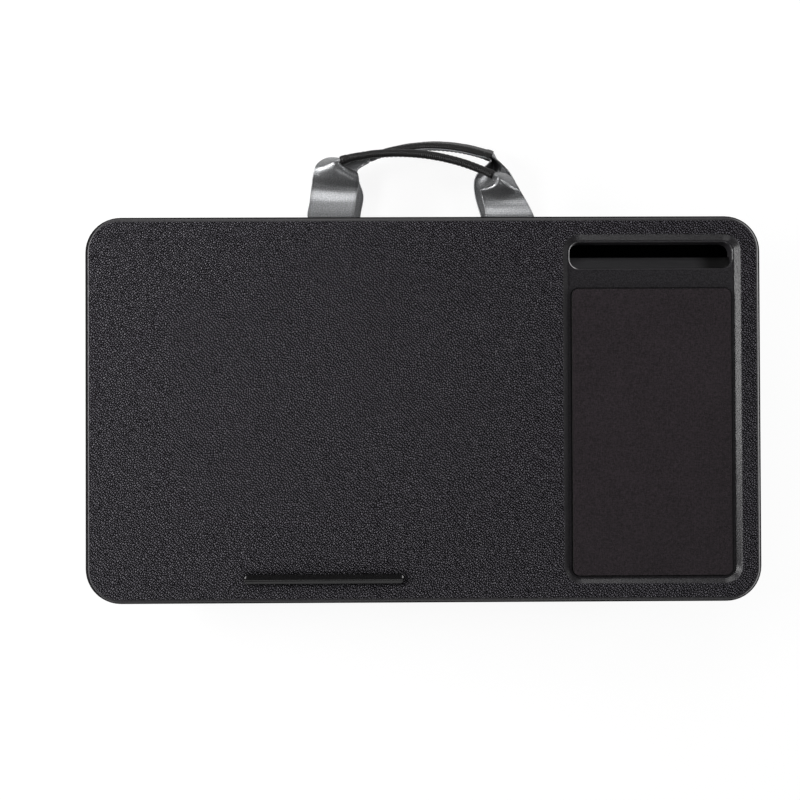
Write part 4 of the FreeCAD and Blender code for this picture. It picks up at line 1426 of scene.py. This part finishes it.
def gripMesh(name, spec, build):
    # Bound sleeve: rounded section along the arc, thicker hems, hollow mouths.
    rails = throughStations(gripStations(spec, build["arcStations"]), build["step"])
    crease, edges = rails[:, 1], (rails[:, 0] + rails[:, 2]) / 2
    axis = unit(edges - crease)
    tangent = unit(np.gradient(crease, axis=0))
    side = unit(np.cross(tangent, axis))
    centre = (crease + edges) / 2
    section = roundedOutline(build["wide"], build["tall"], build["corner"], sideSteps=8, cornerSteps=6)
    u = np.concatenate([[0.0], np.cumsum(np.linalg.norm(np.diff(crease, axis=0), axis=1))])
    total, end = u[-1], len(u) - 1
    turnAt = [0.0]
    for p, q in zip(section, section[1:]):
        turnAt.append(turnAt[-1] + math.hypot(q[0] - p[0], q[1] - p[1]) * mm)

    def ringAt(i, grow, shift=0.0):
        made = []
        for n, a in section:
            p = centre[i] + side[i] * ((n + grow * (1 if n > 0 else -1)) * mm)
            made.append(p + axis[i] * ((a + grow * (1 if a > 0 else -1)) * mm) + tangent[i] * shift)
        return made

    def wrinkled(i, p, n, a):
        along, up, through = build["fold"]
        fineAlong, fineUp = build["fine"]
        fold = noise.noise((u[i] * along, a * up, n * through + build["foldSeed"]))
        fold += build["fineShare"] * noise.noise((u[i] * fineAlong, a * fineUp, n))
        out = side[i] * (n / (build["wide"] / 2)) + axis[i] * (build["wrinkleHigh"] * a / (build["tall"] / 2))
        return p + out * (fold * build["wrinkle"] * mm)

    deep = build["mouthDeep"]
    rings = [ringAt(0, build["mouthIn"], deep), ringAt(0, build["lipIn"])]
    for i in range(end + 1):
        fromEnd = min(u[i], total - u[i]) / mm
        hem = build["hem"] * (1 - min(max((fromEnd - build["hemLong"]) / build["hemFade"], 0.0), 1.0))
        hem -= build["hem"] * max(1 - fromEnd / build["endRound"], 0.0)
        rings.append([wrinkled(i, p, n, a) for p, (n, a) in zip(ringAt(i, hem), section)])
    rings += [ringAt(end, build["lipIn"]), ringAt(end, build["mouthIn"], -deep)]
    runs = [-deep, 0.0, *u, total, total + deep]
    mesh = finishMesh(ringMesh(name, rings))
    mapFromPoints(mesh, [(run, turn) for run in runs for turn in turnAt])
    return mesh, (centre, axis, side)


gripStitches = {"row": 7.0, "lift": 0.02, "fromEnds": 3, "Pitch": 0.0036, "Length": 0.0026, "Thread": 0.00022}


def gripStitchPaths(guide, build, spec):
    # Rows near the open edge on both faces.
    centre, axis, side = (rows[spec["fromEnds"]:-spec["fromEnds"]] for rows in guide)
    out = build["wide"] / 2 + spec["lift"]
    return [centre + axis * spec["row"] * mm + side * (sign * out * mm) for sign in (-1, 1)]


for label, spec, body, start, end in (
    ("upper", upperLoop, "upper_handle", (0, 0.1525, 0.057), (0, 0.1555, 0.057)),
    ("lower", lowerLoop, "lower_handle", (0, 0.1441, 0.012), (0, 0.1471, 0.012)),
):
    strap = newObject(label + "Strap", strapMesh(label + "Strap", spec, strapBuild), webbingSatin)
    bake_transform(strap)
    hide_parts(label + "_handle_tails", label + "_handle_webbing")
    mesh, guide = gripMesh(label + "Grip", spec, gripBuild)
    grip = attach(newObject(label + "Grip", mesh, gripBinding), body)
    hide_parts(label + "_grip_sleeve")
    rows = pathObject(gripStitchPaths(guide, gripBuild, gripStitches), False)
    rows = runTool(stitchRun, rows, gripStitches, label + "GripStitches", blackThread)
    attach(rows, body)
print("loops ready")
